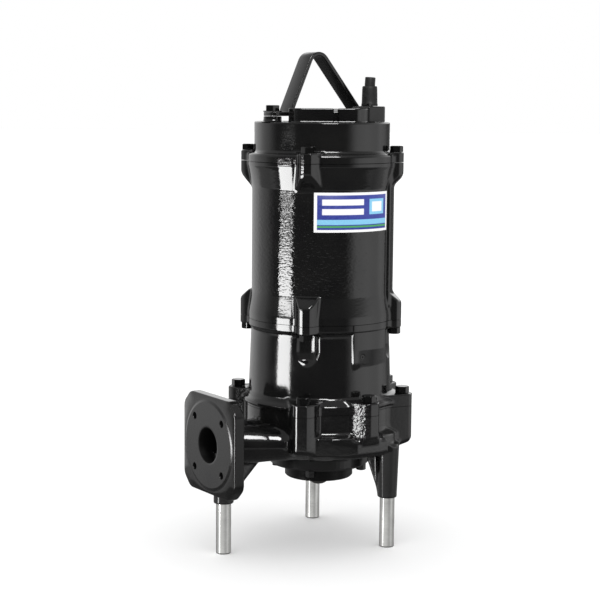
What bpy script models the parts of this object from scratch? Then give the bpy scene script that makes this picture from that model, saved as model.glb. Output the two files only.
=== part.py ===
"""Submersible grinder pump that stands on three rod legs.

Units are metres with +Z up. The shaft is vertical and the discharge flange faces -X.
The origin lies on the floor, under the middle of the pump's bounding box.
Sizes are given in millimetres and turned into metres where the meshes are made.
"""
import math

import bmesh
import bpy
from mathutils import Matrix, Vector

MM = 0.001
GAP = 0.3

# Heights of the castings, from the floor up
LEG_BOSS_BOTTOM = 75.0
CUTTER_TIP = 82.0
RING_BOTTOM = 97.0
SUCTION_COVER_BOTTOM = 117.0
CASING_BOTTOM = 137.0
CASING_TOP = 209.0
CASING_EAR_TOP = 227.0
HOUSING_EAR_BOTTOM = 325.0
HOUSING_TOP = 337.0
FRAME_TOP = 568.0
COVER_EAR_TOP = 583.0
CAP_TOP = 626.0
PAD_TOP = 646.0
HANDLE_TOP = 727.0

# Radii about the shaft
CASING_RADIUS = 111.0
CASING_FLANGE_RADIUS = 114.5
BELLY_RADIUS = 122.0
HOUSING_RADIUS = 104.5
FRAME_RADIUS = 102.5
CHANNEL_RADIUS = 107.3
RIM_RADIUS = 109.0
CAP_RADIUS = 99.6
FRAME_LUG_RADIUS = 121.0
FRAME_BOLT_RADIUS = 111.0
CASING_LUG_RADIUS = 139.0
CASING_BOLT_RADIUS = 125.0
SUCTION_COVER_RADIUS = 75.0
SUCTION_BOLT_RADIUS = 64.5
RING_RADIUS = 51.0
INLET_RADIUS = 38.0
CUTTER_RADIUS = 32.5
SHAFT_RADIUS = 10.0

# Discharge branch, along -X
DISCHARGE_Z = 163.0
BORE_RADIUS = 25.0
PIPE_RADIUS = 30.0
FLANGE_FACE = 194.5
FACE_RELIEF = 1.5
FLANGE_THICKNESS = 17.0
FLANGE_HALF = 72.0
FLANGE_CHAMFER = 18.0
FLANGE_HOLE_HALF_PITCH = 37.5
FLANGE_HOLE_RADIUS = 5.0
RAISED_FACE_RADIUS = 63.0

# Legs: a turned rod screwed into a cast boss
LEG_RADIUS = 11.0
LEG_SEAT = 18.0
DISCHARGE_LEG_RADIUS = 167.5
CASING_LEG_RADIUS = 113.0

# Half widths of a bolt ear: at its nose, at the corner behind the nose, and how far back that is
FRAME_EAR = (6.0, 13.0, 7.0)
CASING_EAR = (6.5, 15.5, 8.0)
EAR_ROOT = 92.0
EAR_SPREAD = 0.43

# Angles about the shaft, in degrees, with 180 at the discharge
FRAME_LUG_ANGLES = (45, 135, 225, 315)
CASING_LUG_ANGLES = (0, 45, 90, 135, 225, 270, 315)
CASING_LEG_ANGLES = (60, 300)

# The shaft stands where the bounding box of the whole pump is centred on the origin
SHAFT_X = (FLANGE_FACE - CASING_LUG_RADIUS) / 2

CAST = ((0.013, 0.013, 0.014), 0.28, 0.0)
CAST_DULL = ((0.020, 0.020, 0.021), 0.45, 0.0)
BOLT_BLACK = ((0.010, 0.010, 0.011), 0.40, 0.6)
STAINLESS = ((0.62, 0.62, 0.60), 0.18, 1.0)
STEEL_GREY = ((0.20, 0.20, 0.20), 0.35, 1.0)
RUBBER = ((0.018, 0.018, 0.018), 0.75, 0.0)
PLATE_BLUE = ((0.02, 0.07, 0.30), 0.35, 0.0)


def clear_scene():
    """Remove every object that the new file came with."""
    for item in list(bpy.data.objects):
        bpy.data.objects.remove(item, do_unlink=True)


def make_material(name, finish):
    """Return a Principled material from a (colour, roughness, metallic) triple."""
    colour, roughness, metallic = finish
    material = bpy.data.materials.new(name)
    material.use_nodes = True
    shader = material.node_tree.nodes["Principled BSDF"]
    shader.inputs["Base Color"].default_value = (*colour, 1.0)
    shader.inputs["Roughness"].default_value = roughness
    shader.inputs["Metallic"].default_value = metallic
    material.diffuse_color = (*colour, 1.0)
    return material


def polar(radius, degrees, z=0.0):
    """Return the point at a radius and an angle about the shaft, in millimetres."""
    angle = math.radians(degrees)
    return Vector((radius * math.cos(angle), radius * math.sin(angle), z))


def turned_to(degrees, radius=0.0, z=0.0):
    """Return the frame whose X axis points outward from the shaft at an angle."""
    place = Matrix.Translation(polar(radius, degrees, z))
    return place @ Matrix.Rotation(math.radians(degrees), 4, "Z")


def object_from(bm, name, place=None):
    """Close a bmesh built in millimetres and link it as an object in metres."""
    if place is not None:
        bmesh.ops.transform(bm, matrix=place, verts=bm.verts)
    bmesh.ops.recalc_face_normals(bm, faces=bm.faces)
    bmesh.ops.scale(bm, vec=(MM, MM, MM), verts=bm.verts)
    mesh = bpy.data.meshes.new(name)
    bm.to_mesh(mesh)
    bm.free()
    item = bpy.data.objects.new(name, mesh)
    bpy.context.scene.collection.objects.link(item)
    return item


def revolve(name, profile, segments=72, place=None):
    """Turn an outline of (radius, z) points about the Z axis.

    An outline that starts and ends on the axis gives a solid, and any other is closed into a ring.
    Each flat end becomes one face, so that a hole cut in it meets no fan of thin triangles.
    """
    bm = bmesh.new()
    points = [bm.verts.new((radius, 0.0, z)) for radius, z in profile]
    edges = [bm.edges.new(pair) for pair in zip(points, points[1:])]
    on_axis = profile[0][0] == 0.0 and profile[-1][0] == 0.0
    if not on_axis:
        edges.append(bm.edges.new((points[-1], points[0])))
    bmesh.ops.spin(
        bm, geom=points + edges, cent=(0, 0, 0), axis=(0, 0, 1),
        angle=2 * math.pi, steps=segments, use_merge=True,
    )
    bmesh.ops.remove_doubles(bm, verts=bm.verts, dist=0.0005)
    bmesh.ops.dissolve_limit(bm, angle_limit=math.radians(0.1), verts=bm.verts, edges=bm.edges)
    return object_from(bm, name, place)


def loft(name, layers, place=None):
    """Skin a stack of closed outlines that have the same number of points, and cap both ends."""
    bm = bmesh.new()
    rings = [[bm.verts.new(point) for point in layer] for layer in layers]
    count = len(rings[0])
    for lower, upper in zip(rings, rings[1:]):
        for i in range(count):
            j = (i + 1) % count
            bm.faces.new((lower[i], lower[j], upper[j], upper[i]))
    bm.faces.new(rings[0])
    bm.faces.new(rings[-1])
    return object_from(bm, name, place)


def prism(name, outline, low, high, place=None):
    """Extrude an (x, y) outline from one height to another."""
    layers = [[(x, y, z) for x, y in outline] for z in (low, high)]
    return loft(name, layers, place)


def side_prism(name, outline, half_width, place=None):
    """Extrude an (x, z) outline sideways, the same distance to both sides."""
    layers = [[(x, y, z) for x, z in outline] for y in (-half_width, half_width)]
    return loft(name, layers, place)


def rod(name, radius, low, high, segments=32, place=None):
    """Return a plain cylinder between two heights."""
    outline = [(0.0, low), (radius, low), (radius, high), (0.0, high)]
    return revolve(name, outline, segments, place)


def combine(base, tools, operation):
    """Join the tools to the base, or cut them from it, and remove them."""
    for tool in tools:
        step = base.modifiers.new(operation.lower(), "BOOLEAN")
        step.operation = operation
        step.solver = "EXACT"
        step.object = tool
    bpy.context.view_layer.update()
    evaluated = base.evaluated_get(bpy.context.evaluated_depsgraph_get())
    mesh = bpy.data.meshes.new_from_object(evaluated)
    base.modifiers.clear()
    base.data = mesh
    mesh.name = base.name
    for tool in tools:
        bpy.data.objects.remove(tool, do_unlink=True)
    return base


def ear_plan(tip, shape):
    """Return the plan of a bolt ear that reaches outward along X.

    A narrow nose is followed by two corners, behind which the sides spread towards the wall.
    """
    nose, half_width, back = shape
    corner = tip - back
    root_half = half_width + (corner - EAR_ROOT) * EAR_SPREAD
    return [
        (EAR_ROOT, -root_half), (corner, -half_width), (tip, -nose),
        (tip, nose), (corner, half_width), (EAR_ROOT, root_half),
    ]


def faded_ear(name, plan, flat_low, flat_high, fade_to, reach, degrees):
    """Return an ear of constant plan whose end slopes back into the wall.

    The plan runs from flat_low to flat_high. Its outline is then drawn in to the radius reach
    at the height fade_to, above or below.
    """
    drawn_in = [(min(x, reach), y) for x, y in plan]
    heights = [(fade_to, drawn_in), (flat_low, plan), (flat_high, plan)]
    if fade_to > flat_high:
        heights = [(flat_low, plan), (flat_high, plan), (fade_to, drawn_in)]
    layers = [[(x, y, z) for x, y in outline] for z, outline in heights]
    return loft(name, layers, turned_to(degrees))


def curved_pad(name, radius, start, end, low, high, lower_cut=8.0, upper_cut=8.0):
    """Return a block that follows the wall between two angles, with sloping ends.

    Over the height of each cut the block widens from its narrow end to its full width.
    """
    steps = 12
    depth = 12.0

    def ring(narrowed, pulled_in):
        first = start + narrowed
        span = end - start - 2 * narrowed
        angles = [first + span * i / steps for i in range(steps + 1)]
        front = [polar(radius - pulled_in, a) for a in angles]
        rear = [polar(radius - depth, a) for a in reversed(angles)]
        return front + rear

    stack = [(low + lower_cut, ring(0.0, 0.0)), (high - upper_cut, ring(0.0, 0.0))]
    if lower_cut:
        stack.insert(0, (low, ring(4.0, 3.0)))
    if upper_cut:
        stack.append((high, ring(3.0, 6.0)))
    return loft(name, [[(p.x, p.y, z) for p in outline] for z, outline in stack])


def hex_head(name, across, thickness, place, washer=0.0, shank=(0.0, 0.0)):
    """Return a hexagon bolt: the head stands on z = 0, with a washer and a shank if given.

    The shank is a (radius, length) pair, and it runs down from the head's seat.
    """
    head = revolve("head", [
        (0.0, washer * 0.5), (across / math.sqrt(3), washer * 0.5),
        (across / math.sqrt(3), thickness - 1.0),
        (across / math.sqrt(3) - 1.4, thickness), (0.0, thickness),
    ], 6)
    pieces = []
    if washer:
        pieces.append(rod("washer", across * 0.72, 0.0, washer, 24))
    if shank[0]:
        pieces.append(rod("shank", shank[0], -shank[1], washer + 1.0, 16))
    bolt = combine(head, pieces, "UNION") if pieces else head
    bolt.name = name
    bolt.data.name = name
    bolt.data.transform(Matrix.Translation(place.translation * MM) @ place.to_3x3().to_4x4())
    return bolt


def fillet_path(corners, steps=8):
    """Round the corners of an (x, z, radius) path and return its points."""
    path = [Vector(corners[0][:2])]
    for before, corner, after in zip(corners, corners[1:], corners[2:]):
        here = Vector(corner[:2])
        back = (Vector(before[:2]) - here).normalized()
        ahead = (Vector(after[:2]) - here).normalized()
        half = back.angle(ahead) / 2
        centre = here + (back + ahead).normalized() * corner[2] / math.sin(half)
        start = here + back * corner[2] / math.tan(half)
        sweep = (start - centre).angle_signed(here + ahead * corner[2] / math.tan(half) - centre)
        for i in range(steps + 1):
            turn = Matrix.Rotation(-sweep * i / steps, 2)
            path.append(centre + turn @ (start - centre))
    path.append(Vector(corners[-1][:2]))
    return path


def strap_outline(path, thickness):
    """Return the closed outline of a strip of even thickness along a path."""
    left = []
    right = []
    for i, point in enumerate(path):
        before = path[max(i - 1, 0)]
        after = path[min(i + 1, len(path) - 1)]
        along = (after - before).normalized()
        across = Vector((-along.y, along.x)) * thickness / 2
        left.append(point + across)
        right.append(point - across)
    return left + right[::-1]


# Lifting handle: a flat strap bent to a leaning A, with a foot on each side of the cap
FOOT_BOLT_X = (-87.0, 81.0)
HANDLE_WIDTH = 30.0
HANDLE_THICKNESS = 5.6
FOOT_Z = 634.0


def lifting_handle():
    """Bend the strap and bore a hole in each foot."""
    middle = FOOT_Z + GAP + HANDLE_THICKNESS / 2
    crown = HANDLE_TOP + 11.7
    corners = [
        (-95.5, middle, 0.0), (-65.0, middle, 8.0), (-20.5, crown, 16.0),
        (63.0, middle, 8.0), (94.0, middle, 0.0),
    ]
    outline = strap_outline(fillet_path(corners), HANDLE_THICKNESS)
    handle = side_prism("lifting_handle", outline, HANDLE_WIDTH / 2)
    holes = [
        rod("hole", 5.5, middle - 10, middle + 10, 24, Matrix.Translation((x, 0, 0)))
        for x in FOOT_BOLT_X
    ]
    return combine(handle, holes, "DIFFERENCE")


def handle_bolts():
    """Hold each foot of the handle with a hexagon bolt and a washer."""
    seat = FOOT_Z + HANDLE_THICKNESS + 2 * GAP
    names = ("handle_bolt_left", "handle_bolt_right")
    return [
        hex_head(name, 19.0, 9.5, Matrix.Translation((x, 0, seat)), 1.6, (5.0, 14.0))
        for name, x in zip(names, FOOT_BOLT_X)
    ]


def top_cover():
    """Turn the cap with its rim, and add four ears, the handle's bosses and the raised pad."""
    low = FRAME_TOP + GAP
    rounding = 3.0
    profile = [(0.0, low), (RIM_RADIUS, low), (RIM_RADIUS, 578.0), (RIM_RADIUS - 2, 580.5),
               (CAP_RADIUS + 2.5, 582.0), (CAP_RADIUS, 585.0), (CAP_RADIUS, CAP_TOP - rounding)]
    for i in range(1, 6):
        angle = math.radians(18 * i)
        profile.append((CAP_RADIUS - rounding * (1 - math.cos(angle)),
                        CAP_TOP - rounding * (1 - math.sin(angle))))
    profile.append((0.0, CAP_TOP))
    cover = revolve("top_cover", profile)
    plan = ear_plan(FRAME_LUG_RADIUS, FRAME_EAR)
    tools = [prism("ear", plan, low, COVER_EAR_TOP, turned_to(a)) for a in FRAME_LUG_ANGLES]
    for x in FOOT_BOLT_X:
        tools.append(rod("boss", 13.0, CAP_TOP - 8, FOOT_Z, 32, Matrix.Translation((x, 0, 0))))
    pad = [(-73, -17), (-71, -40), (9, -80), (30, -73), (39, -62), (39, -18)]
    tools.append(prism("pad", pad, CAP_TOP - 8, PAD_TOP))
    combine(cover, tools, "UNION")
    cuts = [rod("tap", 5.0 + GAP, FOOT_Z - 16, FOOT_Z + 5, 16, Matrix.Translation((x, 0, 0)))
            for x in FOOT_BOLT_X]
    cuts += [rod("hole", 5.0 + GAP, low - 5, COVER_EAR_TOP + 5, 16,
                 Matrix.Translation(polar(FRAME_BOLT_RADIUS, a))) for a in FRAME_LUG_ANGLES]
    turned = Matrix.Rotation(math.radians(-28), 4, "Z")
    slot = [(9, -90), (15, -90), (15, -15), (9, -15)]
    cuts.append(prism("slot", slot, PAD_TOP - 4.7, PAD_TOP + 5, turned))
    notch = [(9, -90), (15, -90), (15, -62.5), (9, -62.5)]
    cuts.append(prism("notch", notch, CAP_TOP, PAD_TOP, turned))
    return combine(cover, cuts, "DIFFERENCE")


# Cable entry: a cast box beside the pad, its rubber boot and the cable's cut end
ENTRY_BOX = (40.0, 74.0, -61.0, -20.0)
ENTRY_TOP = 649.3
BOOT_CENTRE = (55.0, -42.0)
BOOT_TOP = 678.4


def cable_entry():
    """Return the box, the boot, the stub of cable and the two gland screws."""
    x0, x1, y0, y1 = ENTRY_BOX
    cut = 6.0
    plan = [(x0, y0), (x1 - cut, y0), (x1, y0 + cut), (x1, y1), (x0, y1)]
    box = prism("cable_entry_box", plan, CAP_TOP + GAP, ENTRY_TOP)
    centre = Matrix.Translation((*BOOT_CENTRE, 0.0))
    bottom = ENTRY_TOP + GAP
    boot = revolve("cable_boot", [
        (0.0, bottom), (12.0, bottom), (12.0, bottom + 3), (11.6, bottom + 3.5),
        (11.3, BOOT_TOP - 12), (10.8, BOOT_TOP - 1), (10.0, BOOT_TOP), (0.0, BOOT_TOP),
    ], 40, centre)
    lean = Matrix.Rotation(math.radians(4), 4, "Y")
    stub_place = Matrix.Translation((*BOOT_CENTRE, BOOT_TOP)) @ lean
    stub = rod("cable_stub", 7.6, -6.0, 12.8, 32, stub_place)
    socket = rod("socket", 7.6 + GAP, -6.0 - GAP, 30.0, 32, stub_place)
    combine(boot, [socket], "DIFFERENCE")
    screws = []
    for number, (dx, dy) in enumerate(((-10.5, -12.5), (10.5, 12.5)), start=1):
        place = Matrix.Translation((BOOT_CENTRE[0] + dx, BOOT_CENTRE[1] + dy, ENTRY_TOP + GAP))
        screws.append(hex_head(f"gland_screw_{number}", 6.0, 3.6, place))
    return [box, boot, stub, screws[0], screws[1]]


def cover_bolts():
    """Fasten the cover's ears to the frame's upper lugs."""
    bolts = []
    for number, angle in enumerate(FRAME_LUG_ANGLES, start=1):
        place = turned_to(angle, FRAME_BOLT_RADIUS, COVER_EAR_TOP + GAP)
        bolts.append(hex_head(f"cover_bolt_{number}", 17.0, 9.0, place, 0.0, (5.0, 36.0)))
    return bolts


def motor_frame():
    """Turn the barrel and add the lugs, and the channel that leads the cable's cores down."""
    low = HOUSING_TOP + GAP
    high = FRAME_TOP
    frame = revolve("motor_frame", [
        (0.0, low), (RIM_RADIUS - 2, low), (RIM_RADIUS - 2, low + 8), (FRAME_RADIUS + 1, low + 16),
        (FRAME_RADIUS, low + 30), (FRAME_RADIUS, high - 34), (RIM_RADIUS - 2.5, high - 20),
        (RIM_RADIUS, high - 8), (RIM_RADIUS, high), (0.0, high),
    ])
    plan = ear_plan(FRAME_LUG_RADIUS, FRAME_EAR)
    tools = [curved_pad("channel", CHANNEL_RADIUS, 304, 342, low + 20, high - 20, 4.0, 4.0)]
    for angle in FRAME_LUG_ANGLES:
        tools.append(faded_ear("lug", plan, high - 20, high, high - 40, FRAME_RADIUS - 2, angle))
        tools.append(faded_ear("lug", plan, low, 364.0, 377.0, FRAME_RADIUS + 3.5, angle))
    combine(frame, tools, "UNION")
    cuts = []
    for angle in FRAME_LUG_ANGLES:
        place = turned_to(angle, FRAME_BOLT_RADIUS)
        cuts.append(rod("upper_tap", 5.0 + GAP, high - 24, high + 5, 16, place))
        cuts.append(rod("lower_tap", 5.0 + GAP, low - 5, low + 20, 16, place))
    return combine(frame, cuts, "DIFFERENCE")


def housing_bolts():
    """Fasten the seal housing's ears to the frame's lower lugs, from below."""
    bolts = []
    for number, angle in enumerate(FRAME_LUG_ANGLES, start=1):
        place = turned_to(angle, FRAME_BOLT_RADIUS, HOUSING_EAR_BOTTOM - GAP)
        place = place @ Matrix.Rotation(math.pi, 4, "X")
        bolts.append(hex_head(f"housing_bolt_{number}", 17.0, 9.0, place, 0.0, (5.0, 28.0)))
    return bolts


OIL_PLUG_ANGLE = 271.0
OIL_PLUG_Z = 290.0
OIL_PLUG_RADIUS = 3.5
POCKET_RADIUS = 21.0


def seal_housing():
    """Turn the oil chamber's barrel, with its ears, the pockets of its bolts and a raised pad."""
    low = CASING_TOP + GAP
    high = HOUSING_TOP
    housing = revolve("seal_housing", [
        (0.0, low), (CASING_FLANGE_RADIUS, low), (CASING_FLANGE_RADIUS, low + 6),
        (RIM_RADIUS - 1, low + 11), (HOUSING_RADIUS + 1.5, low + 20), (HOUSING_RADIUS + 1, low + 40),
        (HOUSING_RADIUS - 1.5, high - 20), (HOUSING_RADIUS - 1, high - 14),
        (RIM_RADIUS - 2, high - 10), (RIM_RADIUS - 2, high), (0.0, high),
    ])
    upper = ear_plan(FRAME_LUG_RADIUS, FRAME_EAR)
    tools = [prism("ear", upper, HOUSING_EAR_BOTTOM, high, turned_to(a)) for a in FRAME_LUG_ANGLES]
    lower = ear_plan(CASING_LUG_RADIUS, CASING_EAR)
    tools += [prism("ear", lower, low, CASING_EAR_TOP, turned_to(a)) for a in CASING_LUG_ANGLES]
    tools.append(curved_pad("pad", HOUSING_RADIUS + 2.5, 262, 300, 268.0, 330.0, 8.0, 0.0))
    panel_radius = CASING_FLANGE_RADIUS + 2
    tools.append(curved_pad("panel_top", panel_radius, 227, 268, low, 229.0, 0.0, 13.0))
    combine(housing, tools, "UNION")
    cuts = [rod("hole", 5.0 + GAP, HOUSING_EAR_BOTTOM - 5, high + 5, 16,
                turned_to(a, FRAME_BOLT_RADIUS)) for a in FRAME_LUG_ANGLES]
    cuts += [rod("hole", 6.0 + GAP, low - 5, CASING_EAR_TOP + 5, 16,
                 turned_to(a, CASING_BOLT_RADIUS)) for a in CASING_LUG_ANGLES]
    pocket = [(0.0, 274.0), (10.0, 278.0), (17.0, 286.0), (POCKET_RADIUS, 298.0),
              (POCKET_RADIUS, HOUSING_EAR_BOTTOM), (0.0, HOUSING_EAR_BOTTOM)]
    off_corner = Matrix.Rotation(math.radians(4), 4, "Z")
    cuts += [revolve("pocket", pocket, 32, turned_to(a, FRAME_BOLT_RADIUS + 3) @ off_corner)
             for a in FRAME_LUG_ANGLES]
    cuts.append(rod("plug_seat", OIL_PLUG_RADIUS + GAP, -10.0, 10.0, 24, oil_plug_frame()))
    return combine(housing, cuts, "DIFFERENCE")


def oil_plug_frame():
    """Return the frame whose Z axis leaves the housing at the oil plug."""
    seat = turned_to(OIL_PLUG_ANGLE, HOUSING_RADIUS + 2.5, OIL_PLUG_Z)
    return seat @ Matrix.Rotation(math.pi / 2, 4, "Y")


def oil_plug():
    """Return the recessed plug of the oil chamber, with its square socket."""
    plug = rod("oil_plug", OIL_PLUG_RADIUS, -9.7, -1.0, 24, oil_plug_frame())
    side = 1.4
    square = [(-side, -side), (side, -side), (side, side), (-side, side)]
    return combine(plug, [prism("socket", square, -5.0, 5.0, oil_plug_frame())], "DIFFERENCE")


def casing_bolts():
    """Fasten the seal housing to the volute casing."""
    bolts = []
    for number, angle in enumerate(CASING_LUG_ANGLES, start=1):
        place = turned_to(angle, CASING_BOLT_RADIUS, CASING_EAR_TOP + GAP)
        bolts.append(hex_head(f"casing_bolt_{number}", 18.0, 10.0, place, 0.0, (6.0, 46.0)))
    return bolts


def discharge_frame():
    """Return the frame whose Z axis runs out of the discharge, with X up."""
    place = Matrix.Translation((0.0, 0.0, DISCHARGE_Z))
    return place @ Matrix.Rotation(-math.pi / 2, 4, "Y")


def flange_outline():
    """Return the square flange with its corners cut."""
    half = FLANGE_HALF
    short = FLANGE_HALF - FLANGE_CHAMFER
    return [
        (half, -short), (half, short), (short, half), (-short, half),
        (-half, short), (-half, -short), (-short, -half), (short, -half),
    ]


def volute_casing():
    """Build the casing with its lugs, discharge branch and leg bosses as one casting."""
    high = CASING_TOP
    low = CASING_BOTTOM
    casing = revolve("volute_casing", [
        (0.0, low), (90.0, low), (104.0, low + 3), (116.0, low + 9), (BELLY_RADIUS, low + 18),
        (BELLY_RADIUS, low + 34), (CASING_RADIUS + 2, low + 42), (CASING_RADIUS, low + 48),
        (CASING_RADIUS, high - 6), (CASING_FLANGE_RADIUS, high - 4), (CASING_FLANGE_RADIUS, high),
        (0.0, high),
    ])
    plan = ear_plan(CASING_LUG_RADIUS, CASING_EAR)
    tools = [faded_ear("lug", plan, 155.0, high, 146.0, CASING_RADIUS, a) for a in CASING_LUG_ANGLES]
    panel_radius = CASING_FLANGE_RADIUS + 2
    tools.append(curved_pad("side_panel", panel_radius, 227, 268, low + 36, high, 8.0, 0.0))
    tools.append(curved_pad("lower_pad", BELLY_RADIUS + 5, 228, 259, low + 8, low + 46))
    branch = discharge_frame()
    back = FLANGE_FACE - FACE_RELIEF - FLANGE_THICKNESS
    tools.append(rod("pipe", PIPE_RADIUS, 85.0, back + 5, 64, branch))
    run = Vector((104.0, -52.0, -3.0))
    throat = run.to_track_quat("Z", "Y").to_matrix().to_4x4()
    throat.translation = (-back, 0.0, DISCHARGE_Z)
    cone = [(0.0, 0.0), (PIPE_RADIUS, 0.0), (22.0, run.length), (0.0, run.length)]
    tools.append(revolve("throat", cone, 48, throat))
    tools.append(prism("flange", flange_outline(), back, FLANGE_FACE - FACE_RELIEF, branch))
    tools.append(rod("raised_face", RAISED_FACE_RADIUS, back + 5, FLANGE_FACE, 64, branch))
    gusset = [(-165, 88.5), (-165, 140), (-95, 160), (-95, 137), (-120, 133.5)]
    tools.append(side_prism("gusset", gusset, 7.0))
    tools.append(rod("leg_boss", 14.6, LEG_BOSS_BOTTOM, DISCHARGE_Z - 20, 32,
                     turned_to(180, DISCHARGE_LEG_RADIUS)))
    for angle in CASING_LEG_ANGLES:
        boss = [(0.0, LEG_BOSS_BOTTOM), (14.0, LEG_BOSS_BOTTOM), (16.5, 152.0), (0.0, 160.0)]
        tools.append(revolve("leg_boss", boss, 32, turned_to(angle, CASING_LEG_RADIUS)))
        web = [(CASING_LEG_RADIUS, 78.0), (101.0, 78.0), (78.0, low + 2), (CASING_LEG_RADIUS, 150.0)]
        tools.append(side_prism("web", web, 5.0, turned_to(angle)))
    combine(casing, tools, "UNION")
    cuts = [rod("bore", BORE_RADIUS, 60.0, FLANGE_FACE + 5, 64, branch)]
    for across in (-1, 1):
        for up in (-1, 1):
            place = branch @ Matrix.Translation((up * FLANGE_HOLE_HALF_PITCH,
                                                 across * FLANGE_HOLE_HALF_PITCH, 0.0))
            cuts.append(rod("hole", FLANGE_HOLE_RADIUS, back - 4, FLANGE_FACE + 5, 24, place))
    for angle in CASING_LUG_ANGLES:
        cuts.append(rod("tap", 6.0 + GAP, high - 30, high + 5, 16, turned_to(angle, CASING_BOLT_RADIUS)))
    for angle, radius in leg_places():
        cuts.append(rod("leg_seat", LEG_RADIUS + GAP, 0.0, LEG_BOSS_BOTTOM + LEG_SEAT + GAP, 32,
                        turned_to(angle, radius)))
    for angle in FRAME_LUG_ANGLES:
        cuts.append(rod("tap", 4.0 + GAP, low - 5, low + 18, 16, turned_to(angle, SUCTION_BOLT_RADIUS)))
    cuts.append(rod("shaft_seat", SHAFT_RADIUS + GAP, low - 5, low + 50, 32))
    return combine(casing, cuts, "DIFFERENCE")


def suction_cover():
    """Turn the plate that closes the casing from below around the inlet."""
    high = CASING_BOTTOM - GAP
    low = SUCTION_COVER_BOTTOM
    cover = revolve("suction_cover", [
        (INLET_RADIUS, low), (SUCTION_COVER_RADIUS - 3, low), (SUCTION_COVER_RADIUS, low + 3),
        (SUCTION_COVER_RADIUS, high), (INLET_RADIUS, high),
    ])
    cuts = [rod("hole", 4.0 + GAP, low - 5, high + 5, 16, turned_to(a, SUCTION_BOLT_RADIUS))
            for a in FRAME_LUG_ANGLES]
    return combine(cover, cuts, "DIFFERENCE")


def suction_bolts():
    """Hold the suction cover from below."""
    bolts = []
    for number, angle in enumerate(FRAME_LUG_ANGLES, start=1):
        place = turned_to(angle, SUCTION_BOLT_RADIUS, SUCTION_COVER_BOTTOM - GAP)
        place = place @ Matrix.Rotation(math.pi, 4, "X")
        bolts.append(hex_head(f"suction_bolt_{number}", 13.0, 9.5, place, 0.0, (4.0, 34.0)))
    return bolts


def grinder_ring():
    """Turn the fixed cutting ring and cut its slots."""
    high = SUCTION_COVER_BOTTOM - GAP
    low = RING_BOTTOM
    ring = revolve("grinder_ring", [
        (INLET_RADIUS, low), (RING_RADIUS - 2, low), (RING_RADIUS, low + 2),
        (RING_RADIUS, high), (INLET_RADIUS, high),
    ])
    slot = [(30.0, -2.5), (47.0, -2.5), (47.0, 2.5), (30.0, 2.5)]
    slots = [prism("slot", slot, low - 5, low + 9, turned_to(30 * i)) for i in range(12)]
    return combine(ring, slots, "DIFFERENCE")


def pump_shaft():
    """Return the shaft's lower end, which carries the cutter."""
    return rod("pump_shaft", SHAFT_RADIUS, CUTTER_TIP + 8 + GAP, CASING_BOTTOM + 50 - GAP, 32)


def grinder_cutter():
    """Build the rotating cutter: a hub with three swept blades."""
    low = CUTTER_TIP + 8 + GAP
    high = 112.0
    cutter = rod("grinder_cutter", 17.0, low, high, 48)
    blade = [(8.0, -6.0), (CUTTER_RADIUS - 3, -4.0), (CUTTER_RADIUS, 2.0),
             (CUTTER_RADIUS - 2, 9.0), (8.0, 11.0)]
    blades = [prism("blade", blade, low + 10, high, turned_to(120 * i)) for i in range(3)]
    combine(cutter, blades, "UNION")
    return combine(cutter, [rod("bore", SHAFT_RADIUS + GAP, low - 5, high + 5, 32)], "DIFFERENCE")


def cutter_nut():
    """Return the domed nut under the cutter."""
    high = CUTTER_TIP + 8
    profile = [(0.0, CUTTER_TIP)]
    for i in range(1, 6):
        angle = math.radians(18 * i)
        profile.append((14.0 * math.sin(angle), high - 8 * math.cos(angle)))
    profile.append((0.0, high))
    return revolve("cutter_nut", profile, 48)


def leg_places():
    """Return the (angle, radius) of the three legs."""
    places = [(180, DISCHARGE_LEG_RADIUS)]
    places += [(angle, CASING_LEG_RADIUS) for angle in CASING_LEG_ANGLES]
    return places


def legs():
    """Turn three rods that stand on the floor and are screwed into their bosses."""
    names = ("leg_discharge", "leg_rear", "leg_front")
    high = LEG_BOSS_BOTTOM + LEG_SEAT
    profile = [(0.0, 0.0), (LEG_RADIUS - 1, 0.0), (LEG_RADIUS, 1.0), (LEG_RADIUS, high), (0.0, high)]
    return [revolve(name, profile, 40, turned_to(angle, radius))
            for name, (angle, radius) in zip(names, leg_places())]


PLATE_START = 229.5
PLATE_END = 301.5
PLATE_LOW = 471.0
PLATE_HIGH = 527.5


def rating_plate():
    """Bend the thin plate that lies on the barrel."""
    steps = 24
    inner = FRAME_RADIUS + GAP
    outer = inner + 0.8
    angles = [PLATE_START + (PLATE_END - PLATE_START) * i / steps for i in range(steps + 1)]
    outline = [polar(outer, a) for a in angles] + [polar(inner, a) for a in reversed(angles)]
    layers = [[(p.x, p.y, z) for p in outline] for z in (PLATE_LOW, PLATE_HIGH)]
    return loft("rating_plate", layers)


def finish(items, material_name, finish_values):
    """Give each item its own material, smooth its round faces and keep its sharp edges."""
    for item in items:
        item.data.materials.clear()
        item.data.materials.append(make_material(f"{item.name}_{material_name}", finish_values))
        item.data.shade_smooth()
        item.data.set_sharp_from_angle(angle=math.radians(32))


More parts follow.
